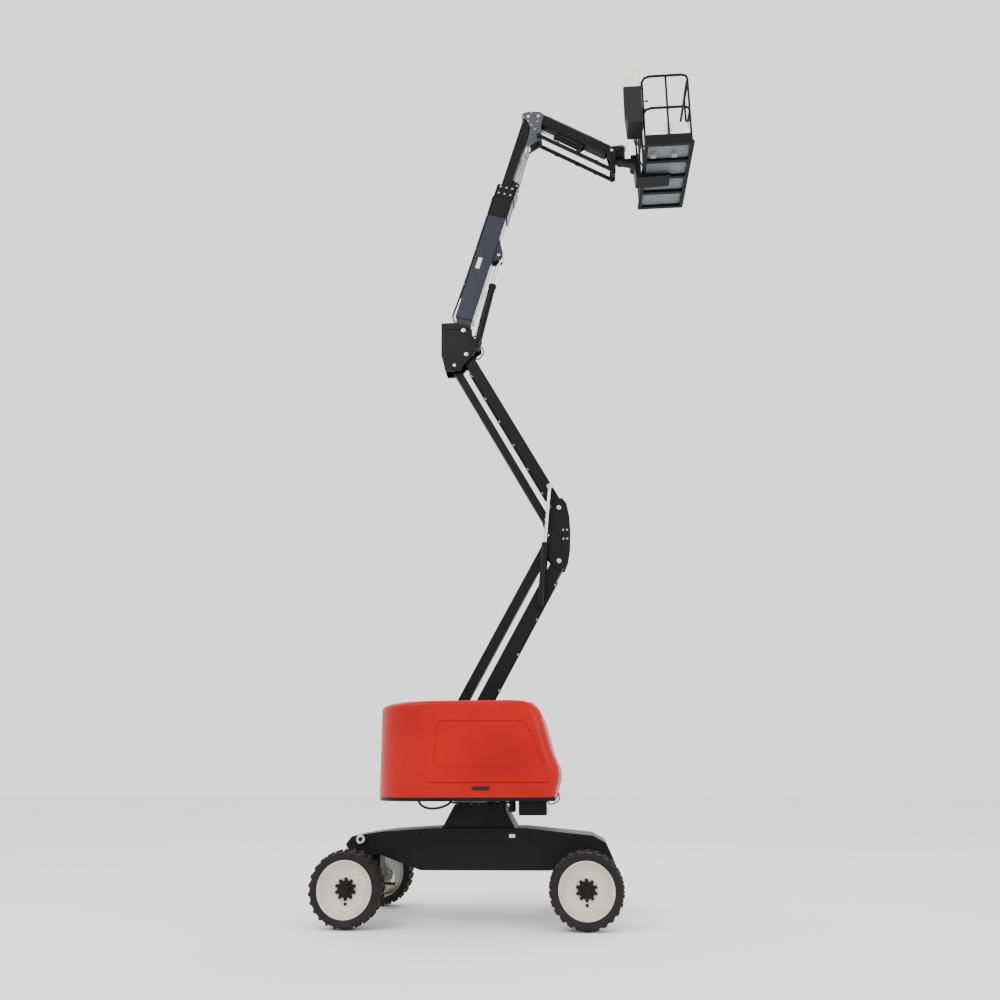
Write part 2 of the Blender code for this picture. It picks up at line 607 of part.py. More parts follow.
def riser():
    """Lower and upper arms, each with the link that keeps the knee or the upright level."""
    bore = RISER_PIN + RUN
    foot = (LOWER_ARM_LENGTH + RISER_CYL_FOOT[0], RISER_CYL_FOOT[1])

    def ends(length, radius):
        return [(0.0, 0.0, radius, bore), (length, 0.0, radius, bore)]

    box_arm("lower_arm", LOWER_BASE, RISER_ANGLE, LOWER_ARM_LENGTH, LOWER_ARM_HEIGHT, ARM_HALF_WIDTH,
            ends(LOWER_ARM_LENGTH, 0.072) + [(foot[0], foot[1], 0.045, RISER_ROD_RADIUS + RUN)])
    box_arm("lower_link", LOWER_LINK_BASE, RISER_ANGLE, LOWER_ARM_LENGTH, LOWER_LINK_HEIGHT, LINK_HALF_WIDTH,
            ends(LOWER_ARM_LENGTH, 0.048))
    box_arm("upper_arm", KNEE_HIGH, UPPER_ANGLE, UPPER_ARM_LENGTH, UPPER_ARM_HEIGHT, ARM_HALF_WIDTH,
            ends(UPPER_ARM_LENGTH, 0.060))
    box_arm("upper_link", UPPER_LINK_BASE, UPPER_ANGLE, UPPER_ARM_LENGTH, UPPER_LINK_HEIGHT, LINK_HALF_WIDTH,
            ends(UPPER_ARM_LENGTH, 0.042))


def knee():
    """Crescent cheeks that hold the four arm pins, joined by a web along the outside."""
    inner = ARM_HALF_WIDTH + SIDE
    outer = inner + CHEEK
    outline = [(-0.02, 0.86), (0.06, 0.865), (0.115, 0.79), (0.148, 0.62), (0.158, 0.42), (0.150, 0.20),
               (0.120, 0.02), (0.070, -0.105), (0.0, -0.115), (-0.075, -0.05), (-0.20, 0.12), (-0.235, 0.20),
               (-0.20, 0.265), (-0.10, 0.375), (-0.195, 0.50), (-0.222, 0.575), (-0.18, 0.64), (-0.09, 0.74)]
    web = [(0.105, 0.62), (0.115, 0.42), (0.108, 0.22), (0.148, 0.20), (0.156, 0.42), (0.146, 0.62)]
    adds = []
    for side in (-1, 1):
        y_low, y_high = sorted((side * inner, side * outer))
        adds.append(slab(outline, (y_low, y_high)))
    adds.append(slab(web, (-inner - 0.005, inner + 0.005)))
    origin = KNEE_LOW
    pins = ((KNEE_LOW, ARM_HALF_WIDTH), (LOWER_LINK_TOP, LINK_HALF_WIDTH), (UPPER_LINK_BASE, LINK_HALF_WIDTH),
            (KNEE_HIGH, ARM_HALF_WIDTH))
    for pin, member in pins:
        at = (pin[0] - origin[0], pin[1] - origin[1])
        adds.append(cross_bar(at, outer + 0.006, RISER_PIN))
        if member == LINK_HALF_WIDTH:
            for side in (-1, 1):
                adds.append(bar((at[0], side * (member + SIDE), at[1]), (at[0], side * (inner + 0.005), at[1]),
                                RISER_PIN + 0.015, 12))
    piece("knee", BLACK, adds, place=place_of(origin))


def upright():
    """Cheeks over the upper arm, with the boom's pin and the lift cylinder's foot."""
    inner = ARM_HALF_WIDTH + SIDE
    outer = inner + 0.034
    origin = UPRIGHT_PIN
    outline = [(-0.365, 0.505), (-0.155, 0.505), (0.02, 0.46), (0.075, 0.38), (0.085, 0.255), (0.185, 0.205),
               (0.195, 0.120), (0.125, 0.070), (0.09, -0.02), (0.03, -0.085), (-0.06, -0.18), (-0.10, -0.245),
               (-0.295, -0.245), (-0.36, 0.0)]
    adds = []
    for side in (-1, 1):
        y_low, y_high = sorted((side * inner, side * outer))
        adds.append(slab(outline, (y_low, y_high)))
    adds.append(slab([(-0.362, 0.50), (-0.342, 0.50), (-0.337, 0.0), (-0.285, -0.21), (-0.303, -0.23),
                      (-0.357, 0.0)], (-inner - 0.01, inner + 0.01)))
    link = UPPER_LINK_OFFSET
    for at in ((0.0, 0.0), link, BOOM_PIVOT_FROM_ARM):
        adds.append(cross_bar(at, outer + 0.008, RISER_PIN))
    for side in (-1, 1):
        adds.append(bar((link[0], side * (LINK_HALF_WIDTH + SIDE), link[1]),
                        (link[0], side * (inner + 0.01), link[1]), RISER_PIN + 0.015, 12))
    foot = moved(BOOM_PIVOT_FROM_ARM, LIFT_FOOT)
    piece("upright", BLACK, adds, [cross_hole(foot, outer + 0.1, LIFT_ROD_RADIUS + RUN)],
          place=place_of(origin))


def cylinder_angle(foot, head):
    return math.atan2(head[1] - foot[1], head[0] - foot[0])


def distance(foot, head):
    return math.hypot(head[0] - foot[0], head[1] - foot[1])


def riser_cylinder_pins(angle):
    """The riser cylinders' pins with the lower arm at an angle."""
    low = along(LOWER_BASE, angle, (LOWER_ARM_LENGTH, 0.0))
    high = moved(low, KNEE_SPREAD)
    head = along(high, math.pi - angle, (RISER_CYL_HEAD[0], -RISER_CYL_HEAD[1]))
    return along(low, angle, RISER_CYL_FOOT), head


def lift_cylinder_length(angle):
    return distance(LIFT_FOOT_PIN, along(BOOM_PIN, angle, LIFT_HEAD))


def level_cylinder_length(angle):
    head = moved(along(BOOM_PIN, angle, FLY_PIVOT), LEVEL_HEAD)
    return distance(along(BOOM_PIN, angle, LEVEL_FOOT), head)


def jib_cylinder_length(angle):
    return distance(JIB_FOOT_PIN, along(JIB_PIVOT, angle, JIB_HEAD))


def barrel_shapes(y, radius, length, rod_radius, eye_half):
    """A cylinder barrel along X from its foot pin: tube, eye, gland, and its blind bore."""
    adds = [bar((radius * 0.6, y, 0), (length - 0.02, y, 0), radius, 14),
            bar((0, y - eye_half, 0), (0, y + eye_half, 0), radius * 1.1, 12),
            bar((length - 0.05, y, 0), (length, y, 0), radius + GLAND, 14)]
    cuts = [hole((radius * BORE_START, y, 0), (length + 0.1, y, 0), rod_radius + RUN, 14)]
    return adds, cuts


def riser_cylinders():
    """A cylinder on each side of the knee, the barrels held near their feet by one cross pin."""
    angle = cylinder_angle(RISER_FOOT, RISER_HEAD)
    reach = distance(RISER_FOOT, RISER_HEAD)
    folded = RISER_ANGLE - RISER_FOLD
    stroke = reach - distance(*riser_cylinder_pins(folded))
    place = place_of(RISER_FOOT, angle)
    adds = [cross_bar((0.0, 0.0), RISER_CYL_Y - RISER_CYL_RADIUS + 0.008, RISER_ROD_RADIUS)]
    cuts = []
    length, tail = RISER_BARREL_LENGTH, RISER_BARREL_TAIL
    for side in (-1, 1):
        y = side * RISER_CYL_Y
        adds.append(bar((-tail, y, 0), (length - 0.02, y, 0), RISER_CYL_RADIUS, 14))
        adds.append(bar((length - 0.05, y, 0), (length, y, 0), RISER_CYL_RADIUS + GLAND, 14))
        cuts.append(hole((0.02 - tail, y, 0), (length + 0.1, y, 0), RISER_ROD_RADIUS + RUN, 14))
    piece("riser_barrels", BLACK, adds, cuts, place)
    for name, side in (("right", -1), ("left", 1)):
        y = side * RISER_CYL_Y
        face = side * (ARM_HALF_WIDTH + SEAT)
        adds = [bar((0.02 - tail + stroke + SIDE, y, 0), (reach, y, 0), RISER_ROD_RADIUS, 16),
                bar((reach, y - 0.03, 0), (reach, y + 0.03, 0), 0.038, 14),
                bar((reach, face, 0), (reach, y + side * 0.038, 0), 0.020, 12)]
        piece(f"riser_rod_{name}", CHROME, adds, place=place)


# ---------------------------------------------------------------- main boom
def main_boom():
    """Base section: a box tube with a collar at its mouth and the lift bracket below."""
    half = BOOM_HALF_WIDTH
    root = 0.20
    mouth = BOOM_LENGTH
    adds = [block((root, mouth - 0.30), (-half, half), (BOOM_LOW, BOOM_HIGH)),
            block((mouth - 0.46, mouth - 0.16), (-half - 0.012, half + 0.012), (BOOM_LOW - 0.012, BOOM_HIGH + 0.012)),
            block((mouth - 0.20, mouth), (-half + 0.006, half - 0.006), (FLY_LOW - 0.045, FLY_HIGH + 0.02)),
            slab([(-0.09, -0.075), (-0.085, 0.06), (0.0, 0.12), (0.21, BOOM_HIGH - 0.01), (0.21, BOOM_LOW + 0.01),
                  (0.05, -0.085)], (-ARM_HALF_WIDTH, ARM_HALF_WIDTH))]
    for side in (-1, 1):
        y_low, y_high = sorted((side * 0.062, side * 0.082))
        x, z = LIFT_HEAD
        adds.append(slab([(x - 0.10, BOOM_LOW + 0.01), (x - 0.045, z - 0.045), (x + 0.05, z - 0.045),
                          (x + 0.30, BOOM_LOW + 0.01)], (y_low, y_high)))
    cavity = block((root + 0.12, mouth - 0.12), (-half + BOOM_WALL, half - BOOM_WALL),
                   (BOOM_LOW + BOOM_WALL, BOOM_HIGH - BOOM_WALL))
    opening = block((mouth - 0.4, mouth + 0.1), (-FLY_HALF_WIDTH - SEAT, FLY_HALF_WIDTH + SEAT),
                    (FLY_LOW - SEAT, FLY_HIGH + SEAT))
    bore = cross_hole((0.0, 0.0), 0.3, RISER_PIN + RUN)
    piece("main_boom", BLUE_GREY, adds, [cavity, opening, bore], place_of(BOOM_PIN, BOOM_ANGLE))


def fly_boom():
    """Telescoping section with the nose that carries the jib head."""
    x, z = FLY_PIVOT
    half = FLY_HALF_WIDTH
    nose = JIB_HALF_WIDTH - 0.003
    foot = LEVEL_FOOT
    adds = [block((FLY_REAR, FLY_END), (-half, half), (FLY_LOW, FLY_HIGH)),
            block((FLY_END - 0.04, x), (-nose, nose), (z - 0.055, z + 0.055)),
            cross_bar((x, z), nose, 0.062)]
    for side in (-1, 1):
        y_low, y_high = sorted((side * 0.042, side * 0.060))
        adds.append(slab([(foot[0] - 0.05, FLY_LOW + 0.01), (foot[0] - 0.035, foot[1] - 0.03),
                          (foot[0] + 0.035, foot[1] - 0.03), (foot[0] + 0.09, FLY_LOW + 0.01)], (y_low, y_high)))
    hollow = block((FLY_REAR - 0.1, FLY_END - 0.10), (-half + FLY_WALL, half - FLY_WALL),
                   (FLY_LOW + FLY_WALL, FLY_HIGH - FLY_WALL))
    cuts = [hollow, cross_hole((x, z), 0.3, JIB_PIN + RUN), cross_hole(foot, 0.3, CYLINDER_PIN + RUN)]
    piece("fly_boom", BLACK, adds, cuts, place_of(BOOM_PIN, BOOM_ANGLE))


def central_cylinder(name, foot, head, size, foot_pin, lug_gap, stroke, look):
    """A single cylinder: barrel with its foot pin, and a rod whose eye sits in its lugs."""
    reach = distance(foot, head)
    place = place_of(foot, cylinder_angle(foot, head))
    radius, rod_radius, length = size
    pin_radius, pin_half = foot_pin
    adds, cuts = barrel_shapes(0.0, radius, length, rod_radius, min(radius * 0.96, lug_gap - 0.008))
    adds.append(cross_bar((0.0, 0.0), pin_half, pin_radius))
    piece(f"{name}_barrel", look, adds, cuts, place)
    rod_start = radius * BORE_START + stroke + SIDE
    adds = [bar((rod_start, 0, 0), (reach, 0, 0), rod_radius, 16),
            cross_bar((reach, 0.0), lug_gap - SEAT, rod_radius * 0.8, 12),
            cross_bar((reach, 0.0), lug_gap * 0.6, rod_radius * 1.45)]
    piece(f"{name}_rod", CHROME, adds, place=place)


# ---------------------------------------------------------------- jib
HEAD_INNER = JIB_HALF_WIDTH + SIDE
HEAD_OUTER = HEAD_INNER + HEAD_PLATE


def jib_head():
    """Level head at the fly's nose: two cheeks with the pins of fly, jib, links and cylinders."""
    jib = JIB_FROM_HEAD
    link = moved(jib, (0.0, -JIB_LINK_DROP))
    foot = moved(jib, JIB_FOOT)
    outline = [(-0.06, 0.075), (0.02, 0.095), (jib[0] + 0.02, 0.085), (jib[0] + 0.085, 0.03),
               (foot[0] + 0.045, foot[1] + 0.03), (foot[0] + 0.04, foot[1] - 0.05), (link[0] + 0.05, link[1]),
               (link[0] + 0.02, link[1] - 0.05), (0.02, LEVEL_HEAD[1] - 0.02), (LEVEL_HEAD[0], LEVEL_HEAD[1] - 0.045),
               (LEVEL_HEAD[0] - 0.045, LEVEL_HEAD[1] - 0.01), (LEVEL_HEAD[0] - 0.02, LEVEL_HEAD[1] + 0.05),
               (0.03, -0.20), (-0.02, -0.07), (-0.075, 0.0)]
    adds = []
    for side in (-1, 1):
        y_low, y_high = sorted((side * HEAD_INNER, side * HEAD_OUTER))
        adds.append(slab(outline, (y_low, y_high)))
    for at in ((0.0, 0.0), jib):
        adds.append(cross_bar(at, HEAD_OUTER + 0.006, JIB_PIN))
    piece("jib_head", GREY, adds, [cross_hole(link, 0.3, LINK_PIN + RUN)], place_of(HEAD_PIN))


def jib():
    """Jib arm with the cylinder's lugs below it, and the pair of links joined by their pins."""
    z = JIB_HEIGHT / 2
    x, low = JIB_HEAD
    lugs = []
    for side in (-1, 1):
        outline = [(x - 0.07, -z + 0.005), (x - 0.035, low - 0.028), (x + 0.035, low - 0.028),
                   (x + 0.07, -z + 0.005)]
        lugs.append(slab(outline, sorted((side * JIB_LUG_Y, side * (JIB_LUG_Y + 0.016)))))
    neck = block((JIB_LENGTH - JIB_NECK - 0.05, JIB_LENGTH), (-JIB_HALF_WIDTH, JIB_HALF_WIDTH), (-0.046, 0.046))
    bore = JIB_PIN + RUN
    box_arm("jib_arm", JIB_PIVOT, JIB_ANGLE, JIB_LENGTH - JIB_NECK, JIB_HEIGHT, JIB_HALF_WIDTH,
            [(0.0, 0.0, 0.064, bore), (JIB_LENGTH, 0.0, 0.052, bore)],
            JIB_WALL, lugs + [neck], [cross_hole(JIB_HEAD, 0.3, CYLINDER_PIN + RUN)])
    half = JIB_LINK_HEIGHT / 2
    adds = []
    for side in (-1, 1):
        y_low, y_high = sorted((side * (JIB_LINK_Y - 0.012), side * (JIB_LINK_Y + 0.012)))
        adds.append(block((0.0, JIB_LENGTH), (y_low, y_high), (-half, half)))
        for end in (0.0, JIB_LENGTH):
            adds.append(bar((end, y_low, 0), (end, y_high, 0), half + 0.006, 14))
    for end in (0.0, JIB_LENGTH):
        adds.append(cross_bar((end, 0.0), JIB_LINK_Y, LINK_PIN))
    piece("jib_link", BLACK, adds, place=place_of(JIB_LINK_PIN, JIB_ANGLE))


def jib_end():
    """Level end plate of the jib, with the shaft housing the platform turns on."""
    origin = JIB_END_PIN
    outline = [(-0.035, 0.075), (0.06, 0.080), (ROTATOR_X - origin[0], 0.070),
               (ROTATOR_X - origin[0], -0.110), (0.062, -0.112), (0.050, -0.22), (0.045, -JIB_LINK_DROP - 0.03),
               (0.0, -JIB_LINK_DROP - 0.05), (-0.045, -JIB_LINK_DROP), (-0.03, -0.20), (-0.075, 0.0)]
    adds = []
    for side in (-1, 1):
        y_low, y_high = sorted((side * HEAD_INNER, side * HEAD_OUTER))
        adds.append(slab(outline, (y_low, y_high)))
    adds.append(cross_bar((0.0, 0.0), HEAD_OUTER + 0.006, JIB_PIN))
    x = ROTATOR_X - origin[0]
    adds.append(bar((x, 0, -0.115), (x, 0, 0.075), ROTATOR_RADIUS, 20))
    adds.append(block((x - 0.035, x + 0.02), (-HEAD_INNER - 0.005, HEAD_INNER + 0.005), (-0.105, 0.065)))
    cuts = [cross_hole((0.0, -JIB_LINK_DROP), 0.3, LINK_PIN + RUN),
            hole((x, 0, -0.3), (x, 0, 0.3), SHAFT_RADIUS + RUN, 20)]
    piece("jib_end", BLACK, adds, cuts, place_of(origin))


# ---------------------------------------------------------------- platform
PLATFORM_X = (PLATFORM_NEAR, PLATFORM_NEAR + PLATFORM_DEPTH)
PLATFORM_Y = (-PLATFORM_WIDTH / 2, PLATFORM_WIDTH / 2)
FLOOR_THICKNESS = 0.03
FRAME_DEPTH = 0.05
FLOOR_LOW = FLOOR_TOP - FLOOR_THICKNESS
FRAME_RIM = 0.055
TOE_HEIGHT = 0.10
RAIL_INSET = 0.02
RAIL_X = (PLATFORM_X[0] + RAIL_INSET, PLATFORM_X[1] - RAIL_INSET)
RAIL_Y = (PLATFORM_Y[0] + RAIL_INSET, PLATFORM_Y[1] - RAIL_INSET)
MIDDLE_RAIL = FLOOR_TOP + RAIL_HEIGHT / 2
POST_Y = 0.25
GATE_GAP = 0.006       # at the latch; the hinge side is seated


def platform_support():
    """Turning shaft, and the arm that runs from it under the platform floor."""
    high = JIB_END_PIN[1] + 0.075
    low = JIB_END_PIN[1] - 0.115
    frame_low = FLOOR_LOW - FRAME_DEPTH
    shaft = bar((0, 0, low - 0.04), (0, 0, high + 0.015), SHAFT_RADIUS, 20)
    x = PLATFORM_NEAR - ROTATOR_X
    root = 0.16
    neck = slab([(-0.05, low - 0.010), (root + 0.01, low - 0.010), (root + 0.01, low - 0.11),
                 (-0.05, low - 0.055)], (-0.055, 0.055))
    arm = slab([(root - 0.02, low - 0.005), (x - 0.03, low - 0.005), (x - 0.03, frame_low - SEAT),
                (x + 0.42, frame_low - SEAT), (x + 0.42, frame_low - 0.05), (x - 0.08, frame_low - 0.07),
                (x - 0.10, low - 0.16), (root - 0.02, low - 0.14)], (-0.13, 0.13))
    head = bar((0, 0, low - 0.065), (0, 0, low - 0.008), 0.070, 16)
    cap = bar((0, 0, high + 0.003), (0, 0, high + 0.03), 0.065, 16)
    piece("platform_support", BLACK, [arm, neck, shaft, head, cap],
          place=Matrix.Translation((ROTATOR_X, 0, 0)))


def platform_floor():
    """Floor frame of channels with cross members, and the deck that lies on it inside the toe boards."""
    x, y = PLATFORM_X, PLATFORM_Y
    low = FLOOR_LOW - FRAME_DEPTH
    inner_x = (x[0] + FRAME_RIM, x[1] - FRAME_RIM)
    bays = 4
    pitch = (y[1] - y[0] - FRAME_RIM) / bays
    cuts = []
    for i in range(bays):
        start = y[0] + FRAME_RIM + i * pitch
        cuts.append(block(inner_x, (start, start + pitch - FRAME_RIM), (low - 0.1, FLOOR_LOW + 0.1)))
    piece("platform_frame", BLACK, [block(x, y, (low, FLOOR_LOW))], cuts)
    edge = RAIL_INSET + RAIL_RADIUS + 0.001
    piece("platform_deck", GREY, [block((x[0] + edge, x[1] - edge), (y[0] + edge, y[1] - edge),
                                        (FLOOR_LOW + SEAT, FLOOR_TOP))])


def platform_rails():
    """Guard rail: top and middle loops, posts, and a toe board ring; a gap at the gate."""
    x, y = RAIL_X, RAIL_Y
    top = FLOOR_TOP + RAIL_HEIGHT
    base = FLOOR_LOW + SEAT
    board = 0.006
    outer = block(x, y, (base, FLOOR_TOP + TOE_HEIGHT))
    inner = block((x[0] + board, x[1] - board), (y[0] + board, y[1] - board),
                  (base - 0.1, FLOOR_TOP + TOE_HEIGHT + 0.1))
    ring = tool("toe_ring", outer, Matrix.Identity(4))
    combine(ring, "DIFFERENCE", tool("toe_core", inner, Matrix.Identity(4)))
    adds = [ring_tube(loop_path(x, y, z, RAIL_CORNER), RAIL_RADIUS) for z in (top, MIDDLE_RAIL)]
    inboard = y[1] - RAIL_CORNER
    posts = [(px, py) for px in x for py in (-inboard, -POST_Y, POST_Y, inboard)]
    posts.append((sum(x) / 2, y[0]))
    for px, py in posts:
        adds.append(bar((px, py, base + 0.005), (px, py, top), RAIL_RADIUS * 0.9, 6))
    opening = block(gate_span(), (y[1] - 0.05, y[1] + 0.05), (base + 0.02, top + 0.1))
    piece("platform_rails", BLACK, adds, [opening], parts=[ring])


def gate_span():
    """X of the gap that the gate closes."""
    centre = (PLATFORM_X[0] + PLATFORM_X[1]) / 2
    return (centre - GATE_WIDTH / 2, centre + GATE_WIDTH / 2)


def gate():
    """Side gate in the far end rail, hinged at its platform-front post."""
    span = gate_span()
    top = FLOOR_TOP + RAIL_HEIGHT
    low = FLOOR_TOP + TOE_HEIGHT + 0.03
    start = span[0] + SEAT + RAIL_RADIUS
    w = span[1] - GATE_GAP - RAIL_RADIUS - start
    adds = [bar((x, 0, low), (x, 0, top), RAIL_RADIUS, 8) for x in (0.0, w)]
    for z in (top - RAIL_RADIUS, MIDDLE_RAIL, low + RAIL_RADIUS):
        adds.append(bar((0, 0, z), (w, 0, z), RAIL_RADIUS * 0.9, 6))
    piece("gate", BLACK, adds, place=Matrix.Translation((start, RAIL_Y[1], 0)))


def console():
    """Control console outside the rails, tapered to pass the jib as the platform turns, and its cover."""
    x = (ROTATOR_X + 0.03, RAIL_X[0] - RAIL_RADIUS - SEAT)
    y = CONSOLE_Y
    low = FLOOR_TOP + 0.36
    mid = FLOOR_TOP + 0.98
    high = FLOOR_TOP + 1.36
    taper = plate([(x[0] - 0.05, y[0] + 0.07), (x[0], y[0] + 0.07), (x[0] + 0.056, y[1]),
                   (x[0] + 0.056, y[1] + 0.05), (x[0] - 0.05, y[1] + 0.05)], (low - 0.1, high + 0.1))
    piece("console_box", BLACK, [slab([(x[0] + 0.05, low), (x[1], low), (x[1], mid), (x[0], mid),
                                       (x[0], low + 0.12)], y)], [taper])
    piece("console_cover", GREY, [slab([(x[0] + 0.06, mid + SEAT), (x[1] - 0.01, mid + SEAT),
                                        (x[1] - 0.02, high - 0.07), (x[1] - 0.10, high), (x[0] + 0.06, high)],
                                       (y[0] + 0.02, y[1] - 0.02))])


chassis()
fixed_axle()
steer_axle()
knuckle("knuckle_right", -1)
knuckle("knuckle_left", 1)
steer_rod()
wheel("rear_right", REAR_X, -1)
wheel("rear_left", REAR_X, 1)
wheel("front_right", FRONT_X, -1)
wheel("front_left", FRONT_X, 1)
swing_bearing()
turntable()
turntable_masses()
hood("hood_right", -1)
hood("hood_left", 1)
riser()
knee()
upright()
riser_cylinders()
main_boom()
fly_boom()
central_cylinder("lift", LIFT_FOOT_PIN, LIFT_HEAD_PIN, (LIFT_CYL_RADIUS, LIFT_ROD_RADIUS, LIFT_BARREL_LENGTH),
                 (LIFT_ROD_RADIUS, ARM_HALF_WIDTH + SIDE + 0.04), 0.062,
                 lift_cylinder_length(BOOM_ANGLE) - lift_cylinder_length(BOOM_ANGLE - BOOM_FALL), BLACK)
level_travel = level_cylinder_length(BOOM_ANGLE - BOOM_FALL) - level_cylinder_length(BOOM_ANGLE)
central_cylinder("level", LEVEL_FOOT_PIN, LEVEL_HEAD_PIN,
                 (LEVEL_CYL_RADIUS, LEVEL_ROD_RADIUS, LEVEL_BARREL_LENGTH), (CYLINDER_PIN, 0.064), HEAD_INNER,
                 level_travel * BOOM_RISE / BOOM_FALL, GREY)
jib_head()
jib()
jib_travel = jib_cylinder_length(JIB_ANGLE + JIB_RISE) - jib_cylinder_length(JIB_ANGLE)
central_cylinder("jib", JIB_HEAD_PIN, JIB_FOOT_PIN, (JIB_CYL_RADIUS, JIB_ROD_RADIUS, JIB_BARREL_LENGTH),
                 (CYLINDER_PIN, JIB_LUG_Y + 0.016), JIB_LUG_Y, jib_travel * JIB_FALL / JIB_RISE, BLACK)
jib_end()
platform_support()
platform_floor()
platform_rails()
gate()
console()

machine = bpy.data.objects.new("machine", None)
bpy.context.scene.collection.objects.link(machine)
machine.location.x = -MIDDLE_X
for item in bpy.data.objects:
    if item is not machine:
        item.parent = machine
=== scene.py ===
"""Finish of a self-propelled articulating boom lift: paint, tyres, hoods, pins, hoses and cage.

Laid out as an add-on and run as a script.  Metres, +Z up, -Y is the machine's right side.
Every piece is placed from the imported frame's joints and boxes and rides on one of its bodies.
"""
import json
import math

import bmesh
import bpy
from mathutils import Matrix, Vector

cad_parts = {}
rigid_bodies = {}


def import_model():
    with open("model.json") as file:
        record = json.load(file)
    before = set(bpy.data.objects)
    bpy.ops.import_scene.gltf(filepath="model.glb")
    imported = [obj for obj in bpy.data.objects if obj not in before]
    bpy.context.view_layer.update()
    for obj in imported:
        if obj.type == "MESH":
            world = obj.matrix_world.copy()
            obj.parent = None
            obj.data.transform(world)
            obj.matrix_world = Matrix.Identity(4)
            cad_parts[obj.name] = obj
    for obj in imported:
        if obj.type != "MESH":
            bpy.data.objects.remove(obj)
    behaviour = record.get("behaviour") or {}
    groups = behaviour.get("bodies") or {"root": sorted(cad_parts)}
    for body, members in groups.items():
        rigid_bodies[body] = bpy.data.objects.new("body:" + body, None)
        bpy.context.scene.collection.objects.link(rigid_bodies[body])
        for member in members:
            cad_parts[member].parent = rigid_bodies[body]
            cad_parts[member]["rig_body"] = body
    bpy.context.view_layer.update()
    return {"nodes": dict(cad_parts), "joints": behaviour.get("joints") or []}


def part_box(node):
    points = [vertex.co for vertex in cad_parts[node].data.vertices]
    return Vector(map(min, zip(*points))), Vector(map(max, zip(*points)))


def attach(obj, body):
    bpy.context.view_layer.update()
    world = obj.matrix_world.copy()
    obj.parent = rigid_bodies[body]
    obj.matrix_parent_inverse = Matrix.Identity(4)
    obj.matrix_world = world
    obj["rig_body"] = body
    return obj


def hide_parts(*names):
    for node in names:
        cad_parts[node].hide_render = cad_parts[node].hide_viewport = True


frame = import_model()
JOINTS = {joint["name"]: joint for joint in frame["joints"]}
SIDES = (("right", -1), ("left", 1))
TYRE_EDGES = [corner.x for name in ("tyre_rear_left", "tyre_front_left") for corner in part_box(name)]
MIDDLE = sum(TYRE_EDGES) / 4   # X halfway between the axles
X, Y, Z = (Vector(row) for row in Matrix.Identity(3))

bl_info = {
    "name": "Boom lift finish",
    "version": (1, 0, 0),
    "blender": (4, 5, 0),
    "location": "View3D > Sidebar > Boom lift",
    "description": "Builds the visible finish of an articulating boom lift round its packed frame",
    "category": "Object",
}


def linear(text):
    """An sRGB hex colour as linear RGBA."""
    values = [int(text[i:i + 2], 16) / 255 for i in (0, 2, 4)]
    return tuple(v / 12.92 if v <= 0.04045 else ((v + 0.055) / 1.055) ** 2.4 for v in values) + (1.0,)


def pin(joint):
    return Vector(JOINTS[joint]["pos_m"])


def along(start, end):
    """A placing matrix: X from start towards end, Y across the machine."""
    x = (Vector(end) - Vector(start)).normalized()
    return Matrix.LocRotScale(start, Matrix((x, Y, x.cross(Y))).transposed(), None)


def linked(name, data):
    """A new object in the scene."""
    made = bpy.data.objects.new(name, data)
    bpy.context.scene.collection.objects.link(made)
    return made


def baked(made):
    """An object's mesh after its modifiers; the object is removed."""
    ready = made.evaluated_get(bpy.context.evaluated_depsgraph_get())
    result = bpy.data.meshes.new_from_object(ready)
    bpy.data.objects.remove(made)
    return result


# ---------------------------------------------------------------- nodes
def node(tree, kind, sockets=None, **settings):
    """Add a node with its settings; a socket's value is a constant, or another socket to link."""
    made = tree.nodes.new(kind)
    for key, value in settings.items():
        setattr(made, key, value)
    for key, value in (sockets or {}).items():
        if isinstance(value, bpy.types.NodeSocket):
            tree.links.new(value, made.inputs[key])
        else:
            made.inputs[key].default_value = value
    return made


DUST = "9A9184"   # dry road dust
MATERIALS = {}


